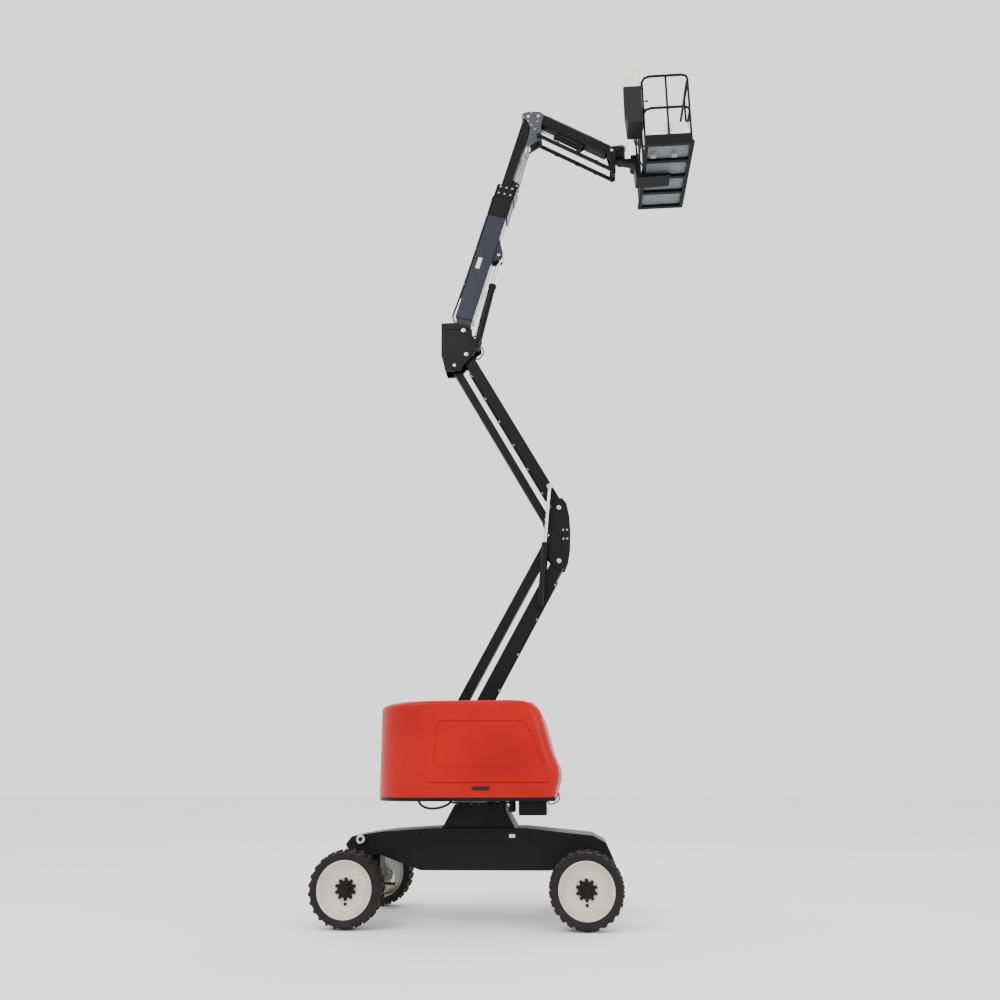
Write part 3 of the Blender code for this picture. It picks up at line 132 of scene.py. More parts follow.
def finish(name, colour, tone, roughness, metallic=0.0, grain=0.003, relief=0.0002, mottle=0.5,
           dust=0.0, chips=0.0, bare="6E6A66", coat=0.0, gloss=0.5, stretch=(1.0, 1.0, 1.0)):
    """A coated or bare surface: two tones, fine grain, settled dust on top faces, chipped edges."""
    if isinstance(colour, str):
        colour = linear(colour)
    material = bpy.data.materials.new(name)
    material.use_nodes = True
    tree = material.node_tree
    shader = tree.nodes["Principled BSDF"]
    place = node(tree, "ShaderNodeTexCoord").outputs["Object"]
    spun = node(tree, "ShaderNodeMapping", {"Vector": place, "Scale": stretch}).outputs["Vector"]
    noise, mapped, product = "ShaderNodeTexNoise", "ShaderNodeMapRange", {"operation": "MULTIPLY"}
    cloud = node(tree, noise, {"Vector": place, "Scale": 1 / mottle, "Detail": 6.0}).outputs["Fac"]
    fine = node(tree, noise, {"Vector": spun, "Scale": 1 / grain, "Detail": 3.0}).outputs["Fac"]
    spread = node(tree, mapped, {"Value": cloud, "From Min": 0.35, "From Max": 0.7}).outputs["Result"]
    paint = node(tree, "ShaderNodeMix", {0: spread, 6: colour, 7: linear(tone)},
                 data_type="RGBA").outputs[2]
    rough = node(tree, mapped, {"Value": cloud, "To Min": roughness * 0.85,
                                "To Max": roughness * 1.2}).outputs["Result"]
    if dust:
        normal = node(tree, "ShaderNodeNewGeometry").outputs["Normal"]
        up = node(tree, "ShaderNodeSeparateXYZ", {"Vector": normal}).outputs["Z"]
        lying = node(tree, mapped, {"Value": up, "From Min": 0.35, "From Max": 1.0,
                                    "To Max": dust}).outputs["Result"]
        amount = node(tree, "ShaderNodeMath", {0: lying, 1: spread}, **product).outputs[0]
        height = node(tree, "ShaderNodeSeparateXYZ", {"Vector": place}).outputs["Z"]
        road = node(tree, mapped, {"Value": height, "From Min": 1.1, "From Max": 0.1,
                                   "To Max": dust * 0.8}).outputs["Result"]
        splash = node(tree, "ShaderNodeMath", {0: road, 1: cloud}, **product).outputs[0]
        total = node(tree, "ShaderNodeMath", {0: amount, 1: splash}, operation="ADD",
                     use_clamp=True).outputs[0]
        paint = node(tree, "ShaderNodeMix", {0: total, 6: paint, 7: linear(DUST)},
                     data_type="RGBA").outputs[2]
        rough = node(tree, "ShaderNodeMix", {0: total, 2: rough, 3: 0.9}).outputs[0]
    if chips:
        edge = node(tree, "ShaderNodeAttribute", attribute_name="edge").outputs["Fac"]
        worn = node(tree, noise, {"Vector": place, "Scale": 28.0, "Detail": 5.0}).outputs["Fac"]
        patch = node(tree, mapped, {"Value": worn, "From Min": 0.52, "From Max": 0.60,
                                    "To Max": chips}).outputs["Result"]
        shown = node(tree, "ShaderNodeMath", {0: edge, 1: patch}, **product).outputs[0]
        paint = node(tree, "ShaderNodeMix", {0: shown, 6: paint, 7: linear(bare)},
                     data_type="RGBA").outputs[2]
        metal = node(tree, "ShaderNodeMath", {0: shown, 1: 0.8}, **product).outputs[0]
        tree.links.new(metal, shader.inputs["Metallic"])
    else:
        shader.inputs["Metallic"].default_value = metallic
    bump = node(tree, "ShaderNodeBump", {"Height": fine, "Strength": 0.6, "Distance": relief})
    shader.inputs["Specular IOR Level"].default_value = gloss
    shader.inputs["Coat Weight"].default_value = coat
    shader.inputs["Coat Roughness"].default_value = 0.08
    tree.links.new(paint, shader.inputs["Base Color"])
    tree.links.new(rough, shader.inputs["Roughness"])
    tree.links.new(bump.outputs["Normal"], shader.inputs["Normal"])
    MATERIALS[name] = material
    return material


# A coat is a finish with the slot that it shows in.
BLACK = ("powder_coat_black", "frame_black")
HOOD = ("gelcoat_hood", "hood_red")
BOOM = ("boom_enamel", "boom_blue_grey")
HEAD = ("head_enamel", "light_grey_paint")
PALE = ("cylinder_enamel", "light_grey_paint")
RIM = ("rim_enamel", "rim_cream")
TYRE = ("tyre_rubber", "tyre_rubber")
CHROME = ("hard_chrome", "chrome_rod")
STEEL = ("turned_steel", "bare_steel")
ZINC = ("zinc_plate", "chrome_rod")
IRON = ("cast_iron", "engine_grey")
MESH = ("galvanised_mesh", "deck_grating")
ABS = ("moulded_abs_black", "console_black")
WHITE = ("polyethylene_white", "console_grey")
HOSE = ("hose_rubber", "frame_black")
GRIP = ("hose_rubber", "console_black")
PLATE = ("anodised_plate", "chrome_rod")
RED = ("moulded_red", "hood_red")
YELLOW = ("safety_yellow", "console_grey")


def make_materials(colours):
    """Every finish of the machine; each comment says what the real one gives the eye."""
    # Gel-coated glass-fibre hood: deep gloss with a faint orange peel, dull where dust settles.
    finish("gelcoat_hood", colours.hood, "960200", 0.34, grain=0.012, relief=0.00012, mottle=0.9,
           dust=0.015, coat=0.05, gloss=0.14)
    # Powder-coated steel: even satin black with a fine pebble grain and bright chips on corners.
    finish("powder_coat_black", colours.frame, "050506", 0.46, grain=0.0035, relief=0.0003, mottle=0.6,
           dust=0.05, chips=0.5, bare="3A3836", gloss=0.16)
    # Sprayed two-pack enamel over the boom tube: smoother, slightly blue, half gloss.
    finish("boom_enamel", colours.boom, "141A26", 0.40, grain=0.006, relief=0.00015, mottle=0.8,
           dust=0.04, chips=0.5, bare="55524F", coat=0.05, gloss=0.25)
    # Grey primer-like enamel on the cast and welded head pieces.
    finish("head_enamel", colours.head, "282A2C", 0.42, grain=0.005, relief=0.0002, mottle=0.3,
           dust=0.05, chips=0.5)
    # Light grey factory enamel of the levelling cylinder: clean half gloss.
    finish("cylinder_enamel", "8E9194", "7A7D80", 0.38, grain=0.005, relief=0.0001, mottle=0.2,
           dust=0.04)
    # Off-white rim enamel, pressed steel below it, with brake dust and road film.
    finish("rim_enamel", colours.rim, "BDBAAE", 0.40, grain=0.004, relief=0.0002, mottle=0.16,
           dust=0.16, chips=0.5)
    # Moulded natural rubber: dull charcoal, grey with dust on the tread.
    finish("tyre_rubber", "0B0B0C", "131313", 0.82, grain=0.004, relief=0.0006, mottle=0.2, dust=0.07,
           gloss=0.3)
    # Hard chrome plate on ground rod: mirror with hair-fine polishing lines.
    finish("hard_chrome", "D8DADC", "C4C8CC", 0.12, metallic=1.0, grain=0.002, relief=0.00002,
           stretch=(6.0, 6.0, 0.4))
    # Turned and oiled bearing steel.
    finish("turned_steel", "8F9092", "6C6D70", 0.34, metallic=1.0, grain=0.003, relief=0.0001,
           stretch=(0.4, 0.4, 6.0))
    # Zinc-plated fasteners and pins: pale grey metal with a soft milky sheen.
    finish("zinc_plate", "C9CBCC", "A9ACAE", 0.30, metallic=1.0, grain=0.004, relief=0.0001,
           mottle=0.05)
    # Sand-cast iron of the engine, flat grey with a coarse skin.
    finish("cast_iron", "242527", "1A1B1C", 0.65, metallic=0.3, grain=0.003, relief=0.0005, mottle=0.2,
           dust=0.2)
    # Hot-dip galvanised deck mesh, grey and slightly mottled.
    finish("galvanised_mesh", "8A8D90", "73767A", 0.48, metallic=0.5, grain=0.006, relief=0.0002,
           mottle=0.04, dust=0.2)
    # Textured ABS housing of the control box.
    finish("moulded_abs_black", "0C0C0D", "121213", 0.55, grain=0.0015, relief=0.00025, mottle=0.2,
           dust=0.04, gloss=0.3)
    # Rotomoulded polyethylene cover, off-white with a waxy sheen.
    finish("polyethylene_white", "E4E4E1", "D6D6D2", 0.50, grain=0.002, relief=0.0002, mottle=0.25,
           dust=0.08)
    # Rubber-skinned hydraulic hose with a cloth-wrapped impression.
    finish("hose_rubber", "0A0A0B", "101011", 0.60, grain=0.002, relief=0.0004, mottle=0.1, dust=0.04,
           gloss=0.3)
    # Blank anodised aluminium plates.
    finish("anodised_plate", "DADBD8", "C6C8C6", 0.38, metallic=0.2, grain=0.002, relief=0.00005,
           mottle=0.05)
    # Injection-moulded red push button.
    finish("moulded_red", "C4151B", "A81016", 0.35, grain=0.002, relief=0.00005)
    # Safety yellow vinyl of the lanyard eyes and the foot switch guard.
    finish("safety_yellow", "E0A916", "C9940F", 0.45, grain=0.004, relief=0.0001, mottle=0.1, dust=0.1)


# ---------------------------------------------------------------- shapes
def moved(bm, place):
    bmesh.ops.transform(bm, matrix=place, verts=bm.verts)
    return bm


def rounded(bm, radius, segments=2, angle=30.0):
    """Bevel the edges that turn more than the angle, leaving out those too short to take it."""
    bmesh.ops.recalc_face_normals(bm, faces=bm.faces)
    mark = bm.faces.layers.float.get("edge") or bm.faces.layers.float.new("edge")
    edges = []
    for edge in bm.edges:
        if len(edge.link_faces) != 2 or edge.calc_face_angle(0.0) < math.radians(angle):
            continue
        near = [other.calc_length() for vert in edge.verts for other in vert.link_edges]
        if edge.calc_length() > 2.5 * radius and min(near) > 1.6 * radius:
            edges.append(edge)
    if edges:
        made = bmesh.ops.bevel(bm, geom=edges, offset=radius, offset_type="OFFSET", segments=segments,
                               profile=0.5, affect="EDGES", clamp_overlap=True)
        for face in made["faces"]:
            face[mark] = 1.0
    return bm


def block(low, high, radius=0.003, segments=2):
    """A box between two corners with rounded edges."""
    bm = bmesh.new()
    bmesh.ops.create_cube(bm, size=1.0)
    low, high = Vector(low), Vector(high)
    for vert in bm.verts:
        vert.co = Vector(low[i] + (vert.co[i] + 0.5) * (high[i] - low[i]) for i in range(3))
    return rounded(bm, radius, segments)


def slab(outline, low, high, radius=0.002, axis="Y"):
    """A flat plate: an (X, Z) or (Y, Z) outline extruded along Y or X, edges rounded."""
    bm = bmesh.new()
    level = (lambda u, v, w: (u, w, v)) if axis == "Y" else (lambda u, v, w: (w, u, v))
    face = bm.faces.new([bm.verts.new(level(u, v, low)) for u, v in outline])
    grown_face = bmesh.ops.extrude_face_region(bm, geom=[face])
    verts = [item for item in grown_face["geom"] if isinstance(item, bmesh.types.BMVert)]
    bmesh.ops.translate(bm, verts=verts, vec=Vector(level(0.0, 0.0, high)) - Vector(level(0.0, 0.0, low)))
    return rounded(bm, radius)


def rect(u, v):
    """A rectangle's corners from its two spans."""
    return [(u[0], v[0]), (u[1], v[0]), (u[1], v[1]), (u[0], v[1])]


def round_outline(points, radius, steps=5):
    """A closed outline with its corners rounded."""
    out = []
    for i, point in enumerate(points):
        here, before, after = Vector(point), Vector(points[i - 1]), Vector(points[(i + 1) % len(points)])
        a, b = (before - here), (after - here)
        cut = min(radius, a.length * 0.45, b.length * 0.45)
        start, end = here + a.normalized() * cut, here + b.normalized() * cut
        for step in range(steps + 1):
            t = step / steps
            out.append(tuple(start.lerp(here, t).lerp(here.lerp(end, t), t)))
    return out


def turned(profile, start, axis, sides=32):
    """A body of revolution: (distance along the axis, radius) points, closed at both ends."""
    bm = bmesh.new()
    axis = Vector(axis).normalized()
    across = axis.orthogonal().normalized()
    other = axis.cross(across)
    rings = []
    for s, r in profile:
        centre = Vector(start) + axis * s
        if r <= 0.0:
            rings.append([bm.verts.new(centre)])
            continue
        spokes = [across * math.cos(a) + other * math.sin(a)
                  for a in (2 * math.pi * i / sides for i in range(sides))]
        rings.append([bm.verts.new(centre + spoke * r) for spoke in spokes])
    closed = profile[0] == profile[-1]
    if closed:
        bmesh.ops.delete(bm, geom=rings[-1], context="VERTS")
        rings[-1] = rings[0]
    for one, two in zip(rings, rings[1:]):
        for i in range(sides):
            j = (i + 1) % sides
            if len(one) == 1:
                bm.faces.new((one[0], two[i], two[j]))
            elif len(two) == 1:
                bm.faces.new((one[j], one[i], two[0]))
            else:
                bm.faces.new((one[i], one[j], two[j], two[i]))
    if not closed:
        for ring in (rings[0], rings[-1]):
            if len(ring) > 1:
                bm.faces.new(ring)
    bmesh.ops.recalc_face_normals(bm, faces=bm.faces)
    return bm


def mesh_of(*parts):
    """Several shapes as one mesh."""
    mesh = bpy.data.meshes.new("shapes")
    whole = bmesh.new()
    whole.faces.layers.float.new("edge")
    for part in parts:
        part.to_mesh(mesh)
        part.free()
        whole.from_mesh(mesh)
    whole.to_mesh(mesh)
    whole.free()
    return mesh


def placed(name, mesh, body, coat, smooth=32.0, replaces=()):
    """Put a mesh in the scene, riding on a body, with its finish."""
    material, slot = coat
    mesh.name = name
    mesh.materials.clear()
    mesh.materials.append(MATERIALS[material])
    mesh.polygons.foreach_set("use_smooth", [True] * len(mesh.polygons))
    mesh.set_sharp_from_angle(angle=math.radians(smooth))
    made = linked(name, mesh)
    level = made.modifiers.new("weighted normals", "WEIGHTED_NORMAL")
    level.keep_sharp = True
    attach(made, body)
    if replaces:
        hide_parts(*replaces)


def fitted(name, body, coat, *parts, replaces=()):
    """One object of several shapes."""
    placed(name, mesh_of(*parts), body, coat, replaces=replaces)


def merged(name):
    """A welded copy of a frame node's mesh, its flat faces made whole."""
    bm = bmesh.new()
    bm.from_mesh(frame["nodes"][name].data)
    bmesh.ops.remove_doubles(bm, verts=bm.verts, dist=0.00005)
    bmesh.ops.dissolve_limit(bm, angle_limit=math.radians(1.0), verts=bm.verts, edges=bm.edges)
    return bm


def dressed(coat, radius, *names, segments=2):
    """Nodes' shapes with their edges rounded, each standing for its node."""
    for name in names:
        body = frame["nodes"][name]["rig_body"]
        fitted(f"{name}_skin", body, coat, rounded(merged(name), radius, segments), replaces=(name,))


# ---------------------------------------------------------------- repeated shapes
def new_tree(name, **inputs):
    """A geometry tree with a geometry input and output, named inputs and a finish."""
    tree = bpy.data.node_groups.new(name, "GeometryNodeTree")
    for label, kind in {"Geometry": "Geometry", **inputs, "Finish": "Material"}.items():
        tree.interface.new_socket(label, in_out="INPUT", socket_type=f"NodeSocket{kind}")
    tree.interface.new_socket("Geometry", in_out="OUTPUT", socket_type="NodeSocketGeometry")
    return tree, node(tree, "NodeGroupInput").outputs


def close_tree(tree, geometry, inputs):
    solid = node(tree, "GeometryNodeRealizeInstances", {"Geometry": geometry})
    coated = node(tree, "GeometryNodeSetMaterial",
                  {"Geometry": solid.outputs[0], "Material": inputs["Finish"]})
    node(tree, "NodeGroupOutput", {"Geometry": coated.outputs[0]})
    return tree


def ring_tree():
    """Copies of the object's own mesh, evenly turned round an axis through a centre."""
    tree, given = new_tree("ring_of_copies", Count="Int", Axis="Vector", Centre="Vector")
    back = node(tree, "ShaderNodeVectorMath", {0: given["Centre"], 1: (-1.0, -1.0, -1.0)},
                operation="MULTIPLY")
    home = node(tree, "GeometryNodeTransform",
                {"Geometry": given["Geometry"], "Translation": back.outputs[0]})
    line = node(tree, "GeometryNodeMeshLine", {"Count": given["Count"], "Offset": (0.0, 0.0, 0.0)})
    step = node(tree, "ShaderNodeMath", {0: 2 * math.pi, 1: given["Count"]}, operation="DIVIDE")
    index = node(tree, "GeometryNodeInputIndex").outputs[0]
    angle = node(tree, "ShaderNodeMath", {0: index, 1: step.outputs[0]}, operation="MULTIPLY")
    turn = node(tree, "FunctionNodeAxisAngleToRotation",
                {"Axis": given["Axis"], "Angle": angle.outputs[0]})
    copies = node(tree, "GeometryNodeInstanceOnPoints",
                  {"Points": line.outputs[0], "Instance": home.outputs[0], "Rotation": turn.outputs[0]})
    there = node(tree, "GeometryNodeTransform",
                 {"Geometry": copies.outputs[0], "Translation": given["Centre"]})
    return close_tree(tree, there.outputs[0], given)


def row_tree():
    """Copies of the object's own mesh, a step apart."""
    tree, given = new_tree("row_of_copies", Count="Int", Step="Vector")
    line = node(tree, "GeometryNodeMeshLine", {"Count": given["Count"], "Offset": given["Step"]})
    copies = node(tree, "GeometryNodeInstanceOnPoints",
                  {"Points": line.outputs[0], "Instance": given["Geometry"]})
    return close_tree(tree, copies.outputs[0], given)


def bolt_tree():
    """A hexagon head with its washer on each point, standing on the point's facing vector."""
    tree, given = new_tree("bolt_heads", Radius="Float", Height="Float")
    wide = node(tree, "ShaderNodeMath", {0: given["Radius"], 1: 1.45}, operation="MULTIPLY").outputs[0]
    thin = node(tree, "ShaderNodeMath", {0: given["Height"], 1: 0.3}, operation="MULTIPLY").outputs[0]
    parts = node(tree, "GeometryNodeJoinGeometry")
    for sides, radius, height, share in ((6, given["Radius"], given["Height"], 0.5),
                                         (14, wide, thin, 0.15)):
        lift = node(tree, "ShaderNodeMath", {0: given["Height"], 1: share}, operation="MULTIPLY")
        head = node(tree, "GeometryNodeMeshCylinder",
                    {"Vertices": sides, "Radius": radius, "Depth": height})
        up = node(tree, "ShaderNodeCombineXYZ", {"Z": lift.outputs[0]})
        shift = node(tree, "GeometryNodeTransform",
                     {"Geometry": head.outputs["Mesh"], "Translation": up.outputs[0]})
        tree.links.new(shift.outputs[0], parts.inputs[0])
    facing = node(tree, "GeometryNodeInputNamedAttribute", {"Name": "facing"}, data_type="FLOAT_VECTOR")
    turn = node(tree, "FunctionNodeAlignRotationToVector", {"Vector": facing.outputs[0]}, axis="Z")
    copies = node(tree, "GeometryNodeInstanceOnPoints",
                  {"Points": given["Geometry"], "Instance": parts.outputs[0], "Rotation": turn.outputs[0]})
    return close_tree(tree, copies.outputs[0], given)


def hose_tree():
    """A round hose along the object's own line of points, smoothed between them."""
    tree, given = new_tree("hose_on_path", Radius="Float")
    path = node(tree, "GeometryNodeMeshToCurve", {"Mesh": given["Geometry"]})
    soft = node(tree, "GeometryNodeCurveSplineType", {"Curve": path.outputs[0]},
                spline_type="CATMULL_ROM")
    fine = node(tree, "GeometryNodeSetSplineResolution", {"Geometry": soft.outputs[0], "Resolution": 8})
    ring = node(tree, "GeometryNodeCurvePrimitiveCircle", {"Resolution": 12, "Radius": given["Radius"]})
    skin = node(tree, "GeometryNodeCurveToMesh",
                {"Curve": fine.outputs[0], "Profile Curve": ring.outputs[0], "Fill Caps": True})
    return close_tree(tree, skin.outputs[0], given)


TREES = {}


def grown(name, mesh, tree, inputs, body, coat, smooth=40.0):
    """Run a tree on a mesh, keep its result as a plain mesh, and fit it to a body."""
    if tree not in TREES:
        TREES[tree] = tree()
    seed = linked(name, mesh)
    modifier = seed.modifiers.new("copies", "NODES")
    modifier.node_group = TREES[tree]
    inputs = dict(inputs, Finish=MATERIALS[coat[0]])
    for item in TREES[tree].interface.items_tree:
        if item.in_out == "INPUT" and item.name in inputs:
            modifier[item.identifier] = inputs[item.name]
    placed(name, baked(seed), body, coat, smooth)


def ring_of(name, body, coat, count, axis, centre, shape, smooth=40.0):
    """Copies of a shape, evenly turned round an axis."""
    inputs = {"Count": count, "Axis": axis, "Centre": centre}
    grown(name, mesh_of(shape), ring_tree, inputs, body, coat, smooth)


def row_of(name, body, coat, count, step, *shapes):
    """Copies of a group of shapes, a step apart."""
    grown(name, mesh_of(*shapes), row_tree, {"Count": count, "Step": step}, body, coat)


def bolts(name, body, spots, radius, height, coat=ZINC):
    """Bolt heads at (point, facing) spots."""
    mesh = bpy.data.meshes.new("spots")
    mesh.from_pydata([tuple(point) for point, facing in spots], [], [])
    layer = mesh.attributes.new("facing", "FLOAT_VECTOR", "POINT")
    layer.data.foreach_set("vector", [v for point, facing in spots for v in facing])
    grown(name, mesh, bolt_tree, {"Radius": radius, "Height": height}, body, coat, 30.0)


def hose(name, body, points, radius, coat=HOSE):
    """A hose held at both ends by the machine."""
    mesh = bpy.data.meshes.new("path")
    mesh.from_pydata([tuple(p) for p in points], [(i, i + 1) for i in range(len(points) - 1)], [])
    grown(name, mesh, hose_tree, {"Radius": radius}, body, coat, 60.0)


# ---------------------------------------------------------------- settings
def length(name, text, default):
    return bpy.props.FloatProperty(name=name, description=text, default=default, min=0.0, unit="LENGTH")


def colour(name, text, default):
    return bpy.props.FloatVectorProperty(name=name, description=text, default=linear(default), size=4,
                                         min=0.0, max=1.0, subtype="COLOR")


class LiftColours(bpy.types.PropertyGroup):
    """The coats that an owner would choose."""
    hood: colour("Hood", "Gelcoat of the two hoods", "A80400")
    frame: colour("Frame", "Powder coat of the chassis and the arms", "09090A")
    boom: colour("Boom", "Enamel of the main boom", "1B212C")
    head: colour("Jib head", "Enamel of the jib head", "36383B")
    rim: colour("Rims", "Enamel of the rims", "CBC8BC")


class WheelSizes(bpy.types.PropertyGroup):
    """Tyres and rims."""
    lugs: bpy.props.IntProperty(name="Lugs", description="Tread lugs round one shoulder", default=26,
                                min=8)
    lug_depth: length("Lug depth", "Height of the tread lugs", 0.024)
    bolt_circle: length("Bolt circle", "Radius of the wheel bolts' circle", 0.106)


class HoodSizes(bpy.types.PropertyGroup):
    """The two hoods."""
    wall: length("Wall", "Thickness of the moulding", 0.012)
    recess: length("Panel recess", "Depth of the recessed panel", 0.0095)
    crown: length("Crown radius", "Rounding of the top edge", 0.055)


class HoseSizes(bpy.types.PropertyGroup):
    """Hydraulic hoses."""
    radius: length("Hose radius", "Outside radius of a hose", 0.011)


class CageSizes(bpy.types.PropertyGroup):
    """Platform and its deck."""
    bar_pitch: length("Bar pitch", "Spacing of the deck's bearing bars", 0.030)
    kick_height: length("Kick panel", "Height of the pale end panel", 0.27)


class StudioSettings(bpy.types.PropertyGroup):
    """Floor, lights and camera."""
    lens: bpy.props.FloatProperty(name="Lens", description="Focal length in millimetres", default=33.0,
                                  min=1.0)
    floor: colour("Floor", "Colour of the studio floor", "FAFAFA")


class LiftSettings(bpy.types.PropertyGroup):
    """All settings of the finish."""
    colours: bpy.props.PointerProperty(type=LiftColours)
    wheels: bpy.props.PointerProperty(type=WheelSizes)
    hoods: bpy.props.PointerProperty(type=HoodSizes)
    hoses: bpy.props.PointerProperty(type=HoseSizes)
    cage: bpy.props.PointerProperty(type=CageSizes)
    studio: bpy.props.PointerProperty(type=StudioSettings)


# ---------------------------------------------------------------- stage
class LIFT_OT_stage(bpy.types.Operator):
    """Build the camera, the floor and the lights"""
    bl_idname = "lift.stage"
    bl_label = "Studio"

    def execute(self, context):
        settings = context.scene.lift
        lens = bpy.data.cameras.new("camera")
        lens.lens = settings.studio.lens
        lens.sensor_width = 36.0
        lens.shift_y = 0.009
        lens.clip_end = 200.0
        camera = linked("camera", lens)
        camera.location = (0.5245, -11.894, 1.602)
        camera.rotation_euler = (math.radians(90.0 + 16.36), math.radians(0.19), math.radians(4.38))
        context.scene.camera = camera
        floor = bpy.data.meshes.new("floor")
        reach = (-90, 90)
        floor.from_pydata([(x, y, 0) for x, y in rect(reach, reach)], [], [(0, 1, 2, 3)])
        floor.materials.append(finish("seamless_paper", settings.studio.floor, "F6F6F6", 0.85, grain=0.5,
                                      relief=0.0001, mottle=4.0))
        linked("floor", floor)
        world = bpy.data.worlds.new("studio")
        world.use_nodes = True
        context.scene.world = world
        sky = world.node_tree.nodes["Background"].inputs
        sky["Color"].default_value = (1.0, 1.0, 1.0, 1.0)
        sky["Strength"].default_value = 1.6
        for name, power, size, at, aim in (("key", 1100.0, 7.0, (-7.0, -9.0, 13.0), (-0.5, 0.0, 4.0)),
                                           ("fill", 350.0, 6.0, (9.0, -8.0, 6.0), (0.0, 0.0, 5.0)),
                                           ("rim", 500.0, 5.0, (3.0, 9.0, 12.0), (0.0, 0.0, 6.0))):
            light = bpy.data.lights.new(name, "AREA")
            light.energy = power
            light.size = size
            lamp = linked(name, light)
            lamp.location = at
            lamp.rotation_euler = (Vector(aim) - Vector(at)).to_track_quat("-Z", "Y").to_euler()
        return {"FINISHED"}


# ---------------------------------------------------------------- wheels
TYRE_SKIN = ((0.014, 0.311), (0.006, 0.322), (0.002, 0.345), (0.004, 0.372), (0.014, 0.388),
             (0.030, 0.394), (0.100, 0.397), (0.160, 0.398))   # (depth from the outer face, radius)
RIM_SKIN = ((0.018, 0.306), (0.011, 0.309), (0.012, 0.302), (0.020, 0.296), (0.030, 0.288),
            (0.050, 0.283), (0.074, 0.274), (0.088, 0.258), (0.094, 0.243), (0.089, 0.232),
            (0.096, 0.222), (0.100, 0.180), (0.102, 0.150), (0.100, 0.120), (0.106, 0.112))
HUB_WELL = ((0.108, 0.090), (0.108, 0.050), (0.130, 0.048), (0.240, 0.0475), (0.240, 0.098),
            (0.140, 0.100))
RIM_BARREL = ((0.028, 0.300), (0.290, 0.300), (0.300, 0.309), (0.018, 0.309), (0.018, 0.306))
BEAD = 0.3101                    # radius of the tyre's seat on the rim
SIDEWALL_RIBS = (0.332, 0.352)   # radii of the raised rings on the sidewall
LUG_TOP = 0.4195                 # radius over the tread
LUG_REACH = 0.150                # how far a lug comes in from its shoulder


class LIFT_OT_wheels(bpy.types.Operator):
    """Build the tyres with their tread, the rims, the hubs and the wheel nuts"""
    bl_idname = "lift.wheels"
    bl_label = "Wheels"

    def execute(self, context):
        sizes = context.scene.lift.wheels
        for axle in ("rear", "front"):
            for side, sign in SIDES:
                self.wheel(f"{axle}_{side}", sign, sizes)
        return {"FINISHED"}

    def wheel(self, name, sign, sizes):
        low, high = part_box(f"tyre_{name}")
        centre, width = (low + high) / 2, high.y - low.y
        face = Vector((centre.x, sign * max(abs(low.y), abs(high.y)), centre.z))   # outside face's middle
        inward = -Y * sign
        body = f"wheel_{name}"
        skin = TYRE_SKIN + tuple((width - s, r) for s, r in TYRE_SKIN[-2::-1])
        bore = ((width - 0.014, BEAD), (0.014, BEAD))
        tyre = turned(skin + bore + skin[:1], face, inward, 72)
        ribs = [turned([(0.0015, r), (0.0005, r + 0.002), (0.0015, r + 0.005), (0.008, r + 0.005),
                        (0.008, r), (0.0015, r)], face, inward, 72) for r in SIDEWALL_RIBS]
        fitted(f"tyre_carcass_{name}", body, TYRE, tyre, *ribs, replaces=(f"tyre_{name}",))
        for shoulder, edge, middle in ((0, 0.004, LUG_REACH), (1, width - 0.004, width - LUG_REACH)):
            place = Matrix.Translation(face) @ Matrix.Rotation(math.pi / sizes.lugs * shoulder, 4, "Y")
            ring_of(f"tyre_tread_{shoulder}_{name}", body, TYRE, sizes.lugs, Y, face,
                    moved(self.lug(edge, middle, -sign, sizes.lug_depth), place), 30.0)
        back = [(s + 0.006, r - 0.007) for s, r in RIM_SKIN]   # the disc's inner face
        dish = list(RIM_SKIN + HUB_WELL) + back[:1:-1] + list(RIM_BARREL)
        fitted(f"rim_disc_{name}", body, RIM, turned(dish, face, inward, 64), replaces=(f"rim_{name}",))
        hub = turned([(0.105, 0.094), (0.088, 0.094), (0.084, 0.090), (0.084, 0.052), (0.060, 0.050),
                      (0.046, 0.046), (0.042, 0.038), (0.042, 0.0)], face, inward, 40)
        cap = turned([(0.044, 0.0), (0.036, 0.010), (0.036, 0.018), (0.044, 0.024)], face, inward, 6)
        fitted(f"hub_{name}", body, BLACK, hub, cap)
        nut = turned([(0.106, 0.019), (0.086, 0.019), (0.080, 0.014), (0.077, 0.0)],
                     face + Z * sizes.bolt_circle, inward, 6)
        ring_of(f"wheel_nuts_{name}", body, BLACK, 10, Y, face, nut)
        valve = turned([(0.104, 0.017), (0.098, 0.019), (0.095, 0.014), (0.085, 0.008), (0.070, 0.006),
                        (0.068, 0.0)], face - Z * 0.155, inward, 16)
        fitted(f"valve_{name}", body, TYRE, valve)

    def lug(self, edge, middle, inward, depth):
        """One tread lug on top of the tyre, from the shoulder's edge to the middle, leaning over."""
        lean, shoulder = 0.030, edge * 0.8 + middle * 0.2
        foot = LUG_TOP - depth
        plan = ((edge, -0.030, foot - 0.012), (edge, 0.012, foot - 0.012), (middle, 0.012 + lean, foot),
                (middle, -0.008 + lean, foot), (shoulder, -0.020, LUG_TOP - 0.006),
                (shoulder, 0.008, LUG_TOP - 0.006), (middle, 0.008 + lean, LUG_TOP),
                (middle, -0.004 + lean, LUG_TOP))
        bm = bmesh.new()
        verts = [bm.verts.new((x, inward * s, z)) for s, x, z in plan]
        for quad in ((0, 1, 2, 3), (4, 7, 6, 5), (0, 4, 5, 1), (1, 5, 6, 2), (2, 6, 7, 3),
                     (3, 7, 4, 0)):
            bm.faces.new([verts[i] for i in quad])
        return rounded(bm, 0.003, 1)


# ---------------------------------------------------------------- chassis
FRAME_SIDE = 0.42   # Y of the frame's side plates


